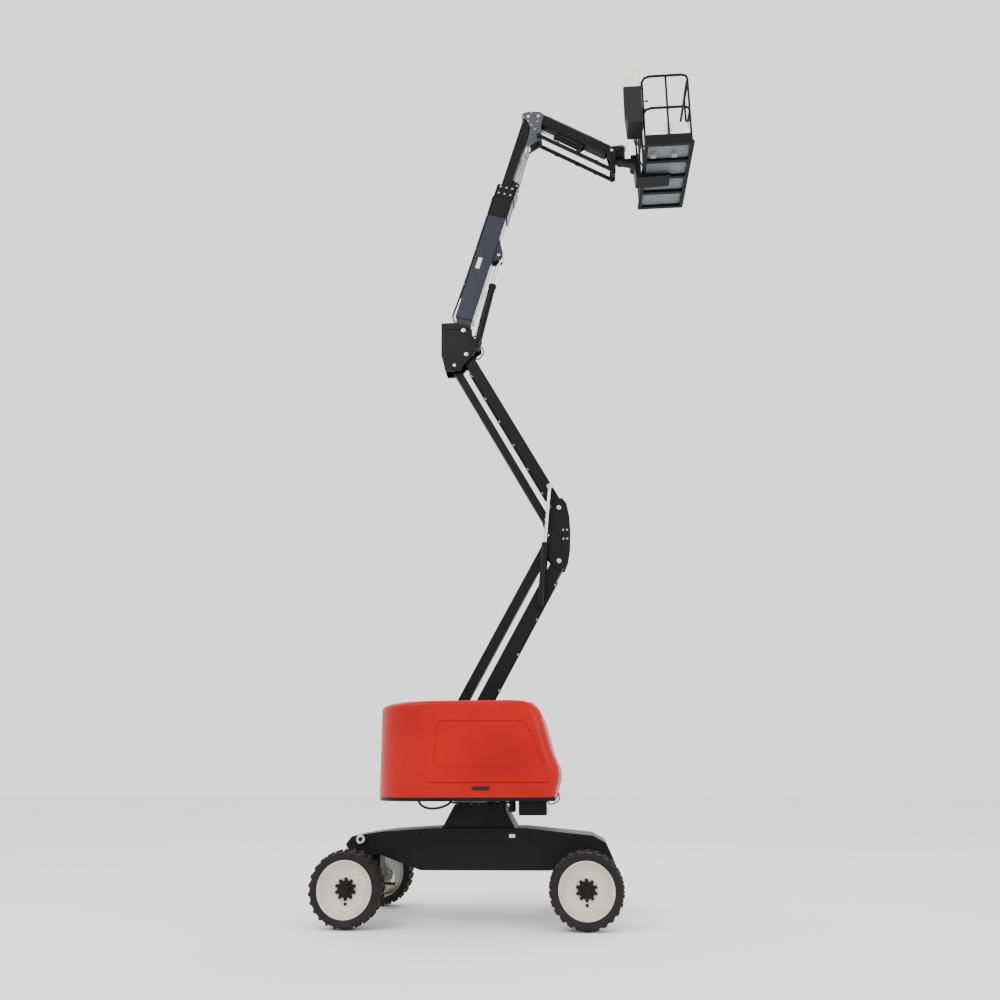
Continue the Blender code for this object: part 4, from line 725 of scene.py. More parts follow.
class LIFT_OT_chassis(bpy.types.Operator):
    """Round off the chassis, the axles and the steering, and bolt on their fittings"""
    bl_idname = "lift.chassis"
    bl_label = "Chassis"

    def execute(self, context):
        dressed(BLACK, 0.006, "chassis_frame")
        dressed(BLACK, 0.004, "fixed_axle", "steer_axle", "knuckle_left", "knuckle_right")
        dressed(CHROME, 0.002, "steer_rod")
        dressed(STEEL, 0.003, "swing_bearing")
        low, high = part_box("chassis_frame")
        for side, sign in SIDES:
            spots = [((MIDDLE + x, sign * FRAME_SIDE, z), Y * sign) for x, z in (
                (-0.92, 0.80), (-0.80, 0.80), (-0.92, 0.72), (-0.80, 0.72), (0.96, 0.72), (1.10, 0.72),
                (0.96, 0.66), (1.10, 0.66), (-0.36, 0.64), (-0.30, 0.64), (0.52, 0.64), (0.58, 0.64))]
            bolts(f"frame_bolts_{side}", "chassis", spots, 0.011, 0.009, BLACK)
            cover = slab(round_outline(rect((MIDDLE - 0.28, MIDDLE + 0.50), (0.70, 0.88)), 0.03),
                         sign * FRAME_SIDE, sign * (FRAME_SIDE + 0.004), 0.001)
            eyes = [turned([(0.0, 0.034), (0.006, 0.034), (0.009, 0.030), (0.009, 0.018), (0.0, 0.018),
                            (0.0, 0.034)], (MIDDLE + x, sign * FRAME_SIDE, 0.94), Y * sign, 20)
                    for x in (-0.62, 0.70)]
            fitted(f"frame_covers_{side}", "chassis", BLACK, cover, *eyes)
            corners = [(MIDDLE + x, z) for x in (-0.25, -0.06, 0.28, 0.47) for z in (0.725, 0.855)]
            bolts(f"cover_bolts_{side}", "chassis",
                  [((x, sign * (FRAME_SIDE + 0.004), z), Y * sign) for x, z in corners], 0.007, 0.005,
                  BLACK)
            plate = slab(round_outline(rect((MIDDLE + 0.45, MIDDLE + 0.52), (0.925, 0.965)), 0.006),
                         sign * (FRAME_SIDE + 0.0005), sign * (FRAME_SIDE + 0.003), 0.0006)
            fitted(f"blank_plate_{side}", "chassis", PLATE, plate)
            lug = turned([(0.0, 0.052), (0.012, 0.052), (0.016, 0.047), (0.016, 0.026), (0.0, 0.022),
                          (0.0, 0.052)], (low.x + 0.19, sign * (high.y - 0.012), 0.91), Y * sign, 28)
            fitted(f"tie_down_eye_{side}", "chassis", ZINC, lug)
            x = pin("wheel_front_right_spin").x
            motor = turned([(0.0, 0.128), (0.02, 0.132), (0.03, 0.120), (0.05, 0.118), (0.06, 0.138),
                            (0.085, 0.138), (0.09, 0.10), (0.09, 0.0)], (x, sign * 0.66, 0.42),
                           Y * sign, 36)
            fitted(f"drive_hub_{side}", "chassis", BLACK, motor)
            path = [(x - 0.02, sign * 0.36, 0.56), (x - 0.13, sign * 0.47, 0.60),
                    (x - 0.15, sign * 0.60, 0.56), (x - 0.05, sign * 0.66, 0.50)]
            hose(f"drive_hose_{side}", "chassis", path, context.scene.lift.hoses.radius)
        centre = pin("swing")
        outer = turned([(0.0, 0.372), (0.010, 0.376), (0.018, 0.372), (0.018, 0.346), (0.0, 0.346),
                        (0.0, 0.372)], (centre.x, 0.0, 1.302), Z, 64)
        fitted("bearing_seal", "chassis", TYRE, outer)
        stud = turned([(0.0, 0.013), (0.014, 0.013), (0.016, 0.010), (0.016, 0.0)],
                      (centre.x + 0.361, 0.0, 1.2995), Z, 6)
        ring_of("bearing_bolts", "chassis", ZINC, 24, Z, X * centre.x, stud)
        return {"FINISHED"}


# ---------------------------------------------------------------- hoods and turntable
def hood_rear(z, top):
    """X of the tail at a height, from the middle of the axles."""
    return -1.09 + 0.12 * max(0.0, (z - (top - 0.075)) / 0.075) ** 2


NOSE = ((1.391, 1.018), (1.535, 1.058), (1.63, 1.078), (1.725, 1.066), (1.885, 0.993), (2.315, 0.878),
        (2.385, 0.843), (2.45, 0.758), (2.475, 0.70))


CREASE = 1.551   # height of the groove round the hood


def hood_nose(z):
    """X of the nose at a height, from the middle of the axles."""
    for (z0, x0), (z1, x1) in zip(NOSE, NOSE[1:]):
        if z <= z1:
            return x0 + (x1 - x0) * (z - z0) / (z1 - z0)
    return NOSE[-1][1]


def hood_shell(sign, sizes):
    """The hood as one skin from the slot round nose, side and tail, then given its wall."""
    low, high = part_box("hood_right")
    bottom, top, wide, slot = low.z, high.z, -low.y, -high.y
    crown = sizes.crown
    heights = [bottom + 0.0005, bottom + 0.006, 1.45, 1.50, 1.538, 1.546, CREASE, 1.556, 1.564, 1.60, 1.66,
               1.72, 1.80, 1.90, 2.00, 2.10, 2.20, 2.30, 2.36, 2.40]
    heights += [top - crown + crown * math.sin(math.radians(a)) for a in (5, 20, 35, 50, 65, 78, 90)]
    small, big, steps = 0.16, 0.60, 16   # corner radii at the nose and the tail, spans of the side
    bm = bmesh.new()
    loops = []
    for z in heights:
        drop = max(0.0, z - (top - crown)) / crown
        inset = crown * (1.0 - math.sqrt(max(0.0, 1.0 - drop * drop)))
        groove = 0.010 * max(0.0, 1.0 - abs(z - CREASE) / 0.013)
        rear, nose = hood_rear(z, top) + inset * 0.6, hood_nose(min(z, top - crown)) - inset * 3.2
        side = wide - inset
        loop = [(nose, slot + (side - small - slot) * t) for t in (0.0, 0.3, 0.65)]
        for a in (math.radians(degrees) for degrees in range(0, 91, 10)):
            loop.append((nose - small + small * math.cos(a), side - small + small * math.sin(a)))
        loop += [(nose - small + (rear + big - nose + small) * i / steps, side) for i in range(1, steps)]
        for a in (math.radians(degrees) for degrees in range(0, 91, 6)):
            loop.append((rear + big - big * math.sin(a), side - big + big * math.cos(a)))
        loop += [(rear, side - big + (slot - side + big) * t) for t in (0.5, 1.0)]
        ring = []
        for x, y in loop:
            held = min(1.0, max(0.0, (x + 0.55) / 0.12)) if y > side - 0.02 else 0.0
            ring.append(bm.verts.new((MIDDLE + x, sign * (y - groove * held), z)))
        loops.append(ring)
    for one, two in zip(loops, loops[1:]):
        for i in range(len(one) - 1):
            bm.faces.new((one[i], one[i + 1], two[i + 1], two[i]))
    last = loops[-1]
    for i in range((len(last) - 1) // 2):
        bm.faces.new(dict.fromkeys((last[i], last[i + 1], last[-2 - i], last[-1 - i])))
    bmesh.ops.recalc_face_normals(bm, faces=bm.faces)
    probe = min(bm.faces, key=lambda face: sign * -face.calc_center_median().y)
    if probe.normal.y * sign < 0.0:
        bmesh.ops.reverse_faces(bm, faces=bm.faces)
    return bm


def sunk_tool(outline, face_y, sign, depth, flare):
    """A tool that sinks an outline into a side face, its walls drafted outwards."""
    bm = bmesh.new()
    middle = Vector((sum(x for x, z in outline), sum(z for x, z in outline))) / len(outline)
    rings = []
    for y, grow in ((face_y - sign * depth, 0.0), (face_y, flare),
                    (face_y + sign * 0.03, flare + 0.001)):
        ring = []
        for x, z in outline:
            away = (Vector((x, z)) - middle).normalized() * grow
            ring.append(bm.verts.new((x + away.x, y, z + away.y)))
        rings.append(ring)
    for one, two in zip(rings, rings[1:]):
        for i in range(len(one)):
            j = (i + 1) % len(one)
            bm.faces.new((one[i], one[j], two[j], two[i]))
    bm.faces.new(rings[0])
    bm.faces.new(rings[-1])
    bmesh.ops.recalc_face_normals(bm, faces=bm.faces)
    return bm


PANEL = ((-0.381, 1.738), (0.908, 1.725), (0.681, 2.237), (-0.323, 2.245))   # X from the middle, Z
SLOT = 0.24   # half the gap between the hoods


class LIFT_OT_hoods(bpy.types.Operator):
    """Mould the two hoods with their recessed panels, creases, latches and louvres"""
    bl_idname = "lift.hoods"
    bl_label = "Hoods"

    def execute(self, context):
        for side, sign in SIDES:
            self.hood(side, sign, context.scene.lift.hoods)
        return {"FINISHED"}

    def hood(self, side, sign, sizes):
        face = sign * -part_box("hood_right")[0].y
        panel = round_outline([(MIDDLE + x, z) for x, z in PANEL], 0.07, 6)
        latch = round_outline(rect((MIDDLE + 0.075, MIDDLE + 0.275), (1.468, 1.512)), 0.018, 4)
        cutter = linked("hood_cutter", mesh_of(sunk_tool(panel, face, sign, sizes.recess, 0.008),
                                               sunk_tool(latch, face, sign, 0.010, 0.004)))
        shell = linked("hood_shell", mesh_of(hood_shell(sign, sizes)))
        wall = shell.modifiers.new("wall", "SOLIDIFY")
        wall.thickness = sizes.wall
        wall.offset = -1.0
        wall.use_even_offset = True
        sink = shell.modifiers.new("sink", "BOOLEAN")
        sink.operation = "DIFFERENCE"
        sink.solver = "EXACT"
        sink.object = cutter
        placed(f"hood_moulding_{side}", baked(shell), f"hood_{side}", HOOD, 24.0, (f"hood_{side}",))
        bpy.data.objects.remove(cutter)
        grip = slab(round_outline(rect((MIDDLE + 0.083, MIDDLE + 0.267), (1.473, 1.507)), 0.014, 4),
                    face - sign * 0.0095, face - sign * 0.003, 0.0015)
        lever = slab(round_outline(rect((MIDDLE + 0.12, MIDDLE + 0.225), (1.480, 1.498)), 0.006, 3),
                     face - sign * 0.004, face + sign * 0.002, 0.0015)
        fitted(f"hood_latch_{side}", f"hood_{side}", ABS, grip, lever)
        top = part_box("hood_right")[1].z
        knuckles = []
        for x in (-0.62, -0.05, 0.42):
            for step in range(3):
                start = MIDDLE + x + step * 0.035
                knuckles.append(turned([(0.0, 0.009), (0.001, 0.010), (0.031, 0.010), (0.032, 0.009)],
                                       (start, sign * (SLOT + 0.004), top - 0.012), X, 14))
        fitted(f"hood_hinges_{side}", f"hood_{side}", ZINC, *knuckles)
        cap = turned([(0.0, 0.046), (0.004, 0.047), (0.010, 0.044), (0.012, 0.038), (0.020, 0.038),
                      (0.030, 0.032), (0.035, 0.018), (0.036, 0.0)],
                     (MIDDLE - 0.72, sign * 0.62, top - 0.001), Z, 28)
        fitted(f"hood_vent_cap_{side}", f"hood_{side}", WHITE, cap)
        if sign > 0:
            span = (MIDDLE - 0.20, MIDDLE + 0.52)
            slat = slab(rect(span, (1.86, 1.872)), face - 0.0078, face - 0.001, 0.0015)
            row_of("engine_louvres", "hood_left", ABS, 9, Z * 0.03, slat)


class LIFT_OT_turntable(bpy.types.Operator):
    """Round off the turntable, its masses and the parts that hang below it"""
    bl_idname = "lift.turntable"
    bl_label = "Turntable"

    def execute(self, context):
        dressed(BLACK, 0.003, "turntable_frame")
        dressed(BLACK, 0.012, "counterweight")
        dressed(IRON, 0.015, "engine_block")
        dressed(BLACK, 0.010, "power_tray")
        low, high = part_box("engine_block")
        fin = slab(rect((low.x + 0.03, high.x - 0.03), (low.z + 0.10, low.z + 0.108)), low.y - 0.008,
                   low.y + 0.004, 0.0015)
        row_of("engine_fins", "turntable", IRON, 12, Z * 0.03, fin)
        pipe = [(low.x + 0.08, low.y + 0.15, high.z), (low.x + 0.08, low.y + 0.15, high.z + 0.10),
                (low.x + 0.12, low.y + 0.18, high.z + 0.17), (low.x + 0.30, low.y + 0.22, high.z + 0.18)]
        hose("exhaust_pipe", "turntable", pipe, 0.024, STEEL)
        tray_low, tray_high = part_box("power_tray")
        spots = [((x, tray_low.y, z), -Y) for x in (tray_low.x + 0.03, tray_high.x - 0.03)
                 for z in (tray_low.z + 0.03, tray_high.z - 0.03)]
        bolts("tray_bolts", "turntable", spots, 0.009, 0.007, BLACK)
        filters = [turned([(0.0, 0.0), (0.004, 0.034), (0.020, 0.040), (0.11, 0.040), (0.118, 0.036),
                           (0.124, 0.030), (0.13, 0.0)], (tray_high.x + x, -0.70, 1.35), -Z, 24)
                   for x in (-0.40, -0.52)]
        fitted("return_filters", "turntable", BLACK, *filters)
        hook_x = tray_high.x + 0.03
        hook = [(hook_x - 0.02, -0.95, 1.352), (hook_x + 0.02, -0.96, 1.315),
                (hook_x + 0.08, -0.97, 1.335),
                (hook_x + 0.12, -0.97, 1.375), (hook_x + 0.115, -0.97, 1.42)]
        grip = turned([(0.0, 0.010), (0.004, 0.014), (0.024, 0.014), (0.028, 0.008), (0.028, 0.0)],
                      (hook_x + 0.115, -0.97, 1.412), (-0.05, 0.0, 1.0), 16)
        hose("lock_lever", "turntable", hook, 0.007, BLACK)
        fitted("lock_lever_grip", "turntable", RED, grip)
        tail = [(-1.28, -0.80, 1.352), (-1.24, -0.80, 1.30), (-1.16, -0.79, 1.268), (-1.04, -0.78, 1.272),
                (-0.94, -0.74, 1.31), (-0.90, -0.70, 1.352)]
        hose("tail_hose", "turntable", tail, 0.014)
        for number, y in enumerate((-0.16, -0.11, 0.11, 0.16)):
            hose(f"swivel_hose_{number}", "turntable",
                 [(-1.30, y, 1.395), (-1.28, y, 1.50), (-1.22, y * 0.9, 1.62),
                  (-1.14, y * 0.8, 1.70)], 0.011)
        return {"FINISHED"}


# ---------------------------------------------------------------- arms
def pin_ends(name, body, spots, rise=0.006):
    """The bright pin ends outside a pair of cheeks: (centre, half width, radius)."""
    parts = []
    for centre, half, radius in spots:
        for sign in (-1, 1):
            parts.append(turned([(-0.010, 0.0), (-0.010, radius), (rise * 0.6, radius),
                                 (rise, radius * 0.86),
                                 (rise, radius * 0.35), (rise * 0.5, radius * 0.25), (rise * 0.5, 0.0)],
                                (centre[0], sign * half, centre[2]), Y * sign, 28))
    fitted(name, body, ZINC, *parts)


def band(sign, near, far):
    """The two Y limits of a piece on one side, in rising order."""
    return sorted((sign * near, sign * far))


def strip(place, x, z, y, radius):
    """A flat piece on an arm: (low, high) pairs along, above and across its frame."""
    return moved(block((x[0], y[0], z[0]), (x[1], y[1], z[1]), radius), place)


def in_frame(place, *points):
    return [place @ Vector(point) for point in points]


class LIFT_OT_riser(bpy.types.Operator):
    """Finish the riser's arms, links, knee, upright and its two cylinders"""
    bl_idname = "lift.riser"
    bl_label = "Riser"

    def execute(self, context):
        dressed(BLACK, 0.004, "lower_arm", "lower_link", "upper_arm", "upper_link", "knee", "upright")
        dressed(BLACK, 0.002, "riser_barrels")
        dressed(CHROME, 0.002, "riser_rod_right", "riser_rod_left")
        base, knee_low, knee_high = pin("riser_lift"), pin("knee_level"), pin("upper_arm_turn")
        rise = knee_low - base
        reach = pin("upright_level") - knee_high
        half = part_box("knee")[1].y
        pin_ends("knee_pins", "knee", [(knee_low, half, 0.030), (knee_high, half, 0.030),
                                       (pin("lower_link_turn") + rise, half, 0.024),
                                       (pin("upper_link_turn"), half, 0.024)])
        top_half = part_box("upright")[1].y
        pin_ends("upright_pins", "upright", [(pin("upright_level"), top_half, 0.030),
                                             (pin("upper_link_turn") + reach, top_half, 0.024),
                                             (pin("main_lift"), top_half, 0.032)])
        width = 0.085   # half the arms' width
        for arm, place, span, depth, inside in (
                ("lower_arm", along(base, knee_low), rise.length, 0.09, -1),
                ("upper_arm", along(knee_high, pin("upright_level")), reach.length, 0.0775, 1)):
            plates = [strip(place, (s - 0.05, s + 0.05), (-depth * 0.55, depth * 0.55),
                            band(sign, width, width + 0.003), 0.0012)
                      for s in (0.16, span / 2, span - 0.20) for sign in (-1, 1)]
            fitted(f"{arm}_doublers", arm, BLACK, *plates)
            spots = [0.30 + i * (span - 0.6) / 5 for i in range(6)]
            clips = [strip(place, (s - 0.018, s + 0.018), band(inside, depth, depth + 0.012),
                           (-0.055, 0.055), 0.002) for s in spots]
            fitted(f"{arm}_hose_clips", arm, ZINC, *clips)
            for number, y in enumerate((-0.036, -0.012, 0.012, 0.036)):
                points = [(s, y + 0.002 * math.sin(9 * s + number), inside * (depth + 0.011))
                          for s in (0.20, 0.6, 1.0, 1.5, span * 0.7, span - 0.25)]
                hose(f"{arm}_hose_{number}", arm, in_frame(place, *points), 0.0095)
        spots = [((knee_high.x + x, sign * half, knee_low.z + z), Y * sign)
                 for sign in (-1, 1) for x in (0.05, 0.10) for z in (0.30, 0.42)]
        bolts("knee_bolts", "knee", spots, 0.009, 0.005)
        for side, sign in SIDES:
            y = sign * (half + 0.004)
            path = ((-0.05, y * 0.86, 0.20), (-0.02, y, 0.26), (0.03, y + sign * 0.004, 0.36),
                    (-0.01, y, 0.48), (-0.06, y * 0.86, 0.52))
            hose(f"knee_hose_{side}", "knee", [(knee_low.x + dx, at, knee_low.z + dz) for dx, at, dz in path],
                 0.008)
        low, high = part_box("upright")
        loop = pin("upright_level")
        for side, sign in SIDES:
            y = sign * (top_half + 0.010)
            inner = sign * (top_half - 0.006)
            path = ((-0.13, inner, 0.25), (-0.07, y, 0.27), (0.0, y, 0.22), (0.02, y, 0.15),
                    (-0.02, y, 0.07), (-0.08, y, 0.045), (-0.13, inner, 0.08))
            hose(f"upright_hose_{side}", "upright", [(high.x + dx, at, loop.z + dz) for dx, at, dz in path],
                 0.009)
        seam = rect((low.x + 0.05, high.x - 0.14), (loop.z + 0.40, loop.z + 0.41))
        fitted("upright_seams", "upright", BLACK,
               *[slab(seam, *band(sign, top_half, top_half + 0.003), 0.001) for sign in (-1, 1)])
        return {"FINISHED"}


def cylinder_fittings(name, body, foot, axis, length_m, radius):
    """Gland nut, weld ring, two oil ports and the steel line of a hydraulic cylinder's barrel."""
    axis = axis.normalized()
    gland = turned([(0.0, radius), (0.0, radius * 1.14), (0.004, radius * 1.18), (0.036, radius * 1.18),
                    (0.040, radius * 1.12), (0.040, radius)], foot + axis * (length_m - 0.038), axis, 32)
    ring = turned([(0.0, radius), (0.003, radius * 1.08), (0.009, radius * 1.08), (0.012, radius)],
                  foot + axis * (length_m - 0.10), axis, 32)
    up = axis.cross(Y)
    ports = [turned([(0.0, 0.014), (0.016, 0.014), (0.018, 0.010), (0.018, 0.0)],
                    foot + axis * s + up * (radius - 0.004), up, 6) for s in (length_m - 0.13, 0.12)]
    fitted(f"{name}_gland", body, BLACK, gland, ring)
    fitted(f"{name}_ports", body, ZINC, *ports)
    line = [foot + axis * s + up * (radius + lift) for s, lift in
            ((length_m - 0.13, 0.012), (length_m - 0.155, 0.022), (length_m - 0.20, 0.012),
             (length_m / 2, 0.008), (0.20, 0.012), (0.15, 0.022), (0.12, 0.012))]
    hose(f"{name}_line", body, line, 0.006, STEEL)


class LIFT_OT_boom(bpy.types.Operator):
    """Finish the main boom, its sliding section and the lift cylinder"""
    bl_idname = "lift.boom"
    bl_label = "Main boom"

    def execute(self, context):
        dressed(BOOM, 0.005, "main_boom")
        dressed(BLACK, 0.004, "fly_boom")
        dressed(BLACK, 0.002, "lift_barrel")
        dressed(CHROME, 0.002, "lift_rod")
        axis = Vector(JOINTS["telescope"]["axis"])
        place = along(pin("main_lift"), pin("main_lift") + axis)
        half, low, high, end = 0.105, -0.071, 0.189, 2.46   # the tube's half-width, bottom, top and mouth
        for label, start, stop, grow in (("sleeve", 1.93, end - 0.003, 0.0135),
                                         ("mouth", 2.25, end - 0.005, 0.021)):
            collar = []
            for sign in (-1, 1):
                y = band(sign, half - 0.001, half + grow)
                collar.append(strip(place, (start, stop), (low - grow, high + grow), y, 0.003))
                z = (low - grow, low + 0.001) if sign < 0 else (high - 0.001, high + grow)
                collar.append(strip(place, (start, stop), z, (-half - grow, half + grow), 0.003))
            fitted(f"boom_{label}_collar", "main_boom", BLACK, *collar)
        spots = [(place @ Vector((end - x, sign * (half + 0.021), z)), Y * sign)
                 for sign in (-1, 1) for x in (0.045, 0.155) for z in (-0.03, 0.06, 0.15)]
        bolts("wear_pad_screws", "main_boom", spots, 0.010, 0.007)
        pads = [strip(place, (end - 0.07, end + 0.006), (0.03, 0.155), band(sign, 0.0785, 0.094), 0.003)
                for sign in (-1, 1)]
        fitted("boom_wear_pads", "main_boom", WHITE, *pads)
        for side, sign in SIDES:
            plate = strip(place, (1.02, 1.20), (0.075, 0.135), band(sign, half, half + 0.002), 0.0008)
            fitted(f"boom_blank_plate_{side}", "main_boom", PLATE, plate)
            rail = strip(place, (0.30, 2.20), (low + 0.012, low + 0.030),
                         band(sign, half, half + 0.004), 0.0015)
            fitted(f"boom_weld_strip_{side}", "main_boom", BOOM, rail)
        guard = [strip(place, (0.55, 2.30), (high, high + 0.040), (-0.055, 0.055), 0.004)]
        guard += [strip(place, (s, s + 0.03), (high, high + 0.044), (-0.060, 0.060), 0.003)
                  for s in (0.60 + i * 0.20 for i in range(9))]
        fitted("hose_guard", "main_boom", BLACK, *guard)
        lift_head = pin("main_lift") + place.to_3x3() @ Vector((1.30, 0.0, -0.146))
        foot = pin("lift_barrel_turn")
        cylinder_fittings("lift_cylinder", "lift_barrel", foot, lift_head - foot, 1.02, 0.050)
        pin_ends("lift_head_pin", "main_boom", [(lift_head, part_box("main_boom")[1].y, 0.022)], 0.004)
        clips = [strip(place, (s, s + 0.03), (high + 0.040, high + 0.052), (-0.03, 0.03), 0.002)
                 for s in (0.75, 1.35, 1.95)]
        fitted("boom_hose_clips", "main_boom", ZINC, *clips)
        for number, y in enumerate((-0.016, 0.016)):
            hose(f"boom_hose_{number}", "main_boom", in_frame(
                place, (0.16, y, high + 0.004), (0.24, y, high + 0.06), (0.5, y, high + 0.056),
                (1.0, y, high + 0.050), (1.6, y, high + 0.050), (2.15, y, high + 0.052),
                (2.28, y, high + 0.056), (2.36, y, high + 0.012)), 0.0095)
        return {"FINISHED"}


class LIFT_OT_jib(bpy.types.Operator):
    """Finish the jib, its head, link and cylinders"""
    bl_idname = "lift.jib"
    bl_label = "Jib"

    def execute(self, context):
        dressed(HEAD, 0.004, "jib_head")
        dressed(PALE, 0.002, "level_barrel")
        dressed(BLACK, 0.004, "jib_arm", "jib_end")
        dressed(BLACK, 0.003, "jib_link")
        dressed(BLACK, 0.002, "jib_barrel")
        dressed(CHROME, 0.002, "level_rod", "jib_rod")
        head, pivot, end = pin("jib_head_level"), pin("jib_lift"), pin("jib_end_level")
        link = pin("jib_link_turn")
        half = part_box("jib_head")[1].y
        pin_ends("jib_head_pins", "jib_head", [(head, half, 0.028), (pivot, half, 0.026)], 0.008)
        pin_ends("jib_end_pins", "jib_end", [(end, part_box("jib_end")[1].y, 0.024)], 0.006)
        spots = [((head.x + x, sign * half, head.z + z), Y * sign) for sign in (-1, 1)
                 for x, z in ((0.0, -0.08), (0.05, -0.16), (0.10, -0.24), (0.05, 0.06), (0.14, -0.10))]
        bolts("jib_head_bolts", "jib_head", spots, 0.009, 0.006)
        arm = along(pivot, end)
        span = (end - pivot).length
        top, side = 0.0825, 0.078   # half the arm's depth and width
        # Painted highlight: a light grey strip along each side, just under the arm's top edge, stands in for
        # the lit top edge of the black arm.
        highlight_strips = [strip(arm, (0.12, 1.05), (top - 0.016, top - 0.004), band(sign, side, side + 0.0025),
                        0.0008) for sign in (-1, 1)]
        fitted("jib_painted_highlight_strips", "jib_arm", HEAD, *highlight_strips)
        tray = [strip(arm, (0.10, span - 0.22), (top, top + 0.018), (-0.062, 0.062), 0.004)]
        tray += [strip(arm, (s, s + 0.03), (top, top + 0.022), (-0.066, 0.066), 0.003)
                 for s in (0.16, 0.5, 0.85)]
        fitted("jib_hose_guard", "jib_arm", BLACK, *tray)
        cylinder_fittings("level_cylinder", "level_barrel", pin("level_barrel_turn"),
                          Vector(JOINTS["level_rod_slide"]["axis"]), 0.62, 0.034)
        axis = Vector(JOINTS["jib_rod_slide"]["axis"]).normalized()
        gland = turned([(0.0, 0.034), (0.0, 0.038), (0.004, 0.040), (0.028, 0.040), (0.032, 0.038),
                        (0.032, 0.034)], pin("jib_barrel_turn") + axis * 0.395, axis, 28)
        fitted("jib_cylinder_gland", "jib_barrel", BLACK, gland)
        for number, sign in enumerate((-1, 1)):
            y = sign * 0.05
            path = ((-0.030, -0.05), (-0.082, -0.01), (-0.094, 0.05), (-0.060, 0.105), (-0.005, 0.115),
                    (0.025, 0.080))
            hose(f"head_hose_{number}", "jib_head", [(head.x + x, y, head.z + z) for x, z in path], 0.0105)
        bar_place = along(link, link + (end - pivot))
        low_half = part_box("jib_link")[1].y
        clamps = [strip(bar_place, (s, s + 0.05), (-0.034, 0.034),
                        band(sign, low_half - 0.012, low_half + 0.006), 0.004)
                  for s in (0.30, 0.66, 0.98) for sign in (-1, 1)]
        fitted("jib_link_clamps", "jib_link", BLACK, *clamps)
        path = ((0.20, 0.010), (0.32, 0.014), (0.50, 0.004), (0.68, 0.012), (0.86, 0.004), (1.12, 0.010))
        points = in_frame(bar_place, *[(s, 0.032 - low_half, z) for s, z in path])
        hose("jib_link_hose", "jib_link", points, 0.006)
        path = ((0.02, -0.112, -0.20), (0.03, -0.130, -0.12), (0.05, -0.130, -0.04), (0.09, -0.106, 0.02))
        hose("jib_end_hose", "jib_end", [(end.x + x, y, end.z + z) for x, y, z in path], 0.008)
        return {"FINISHED"}


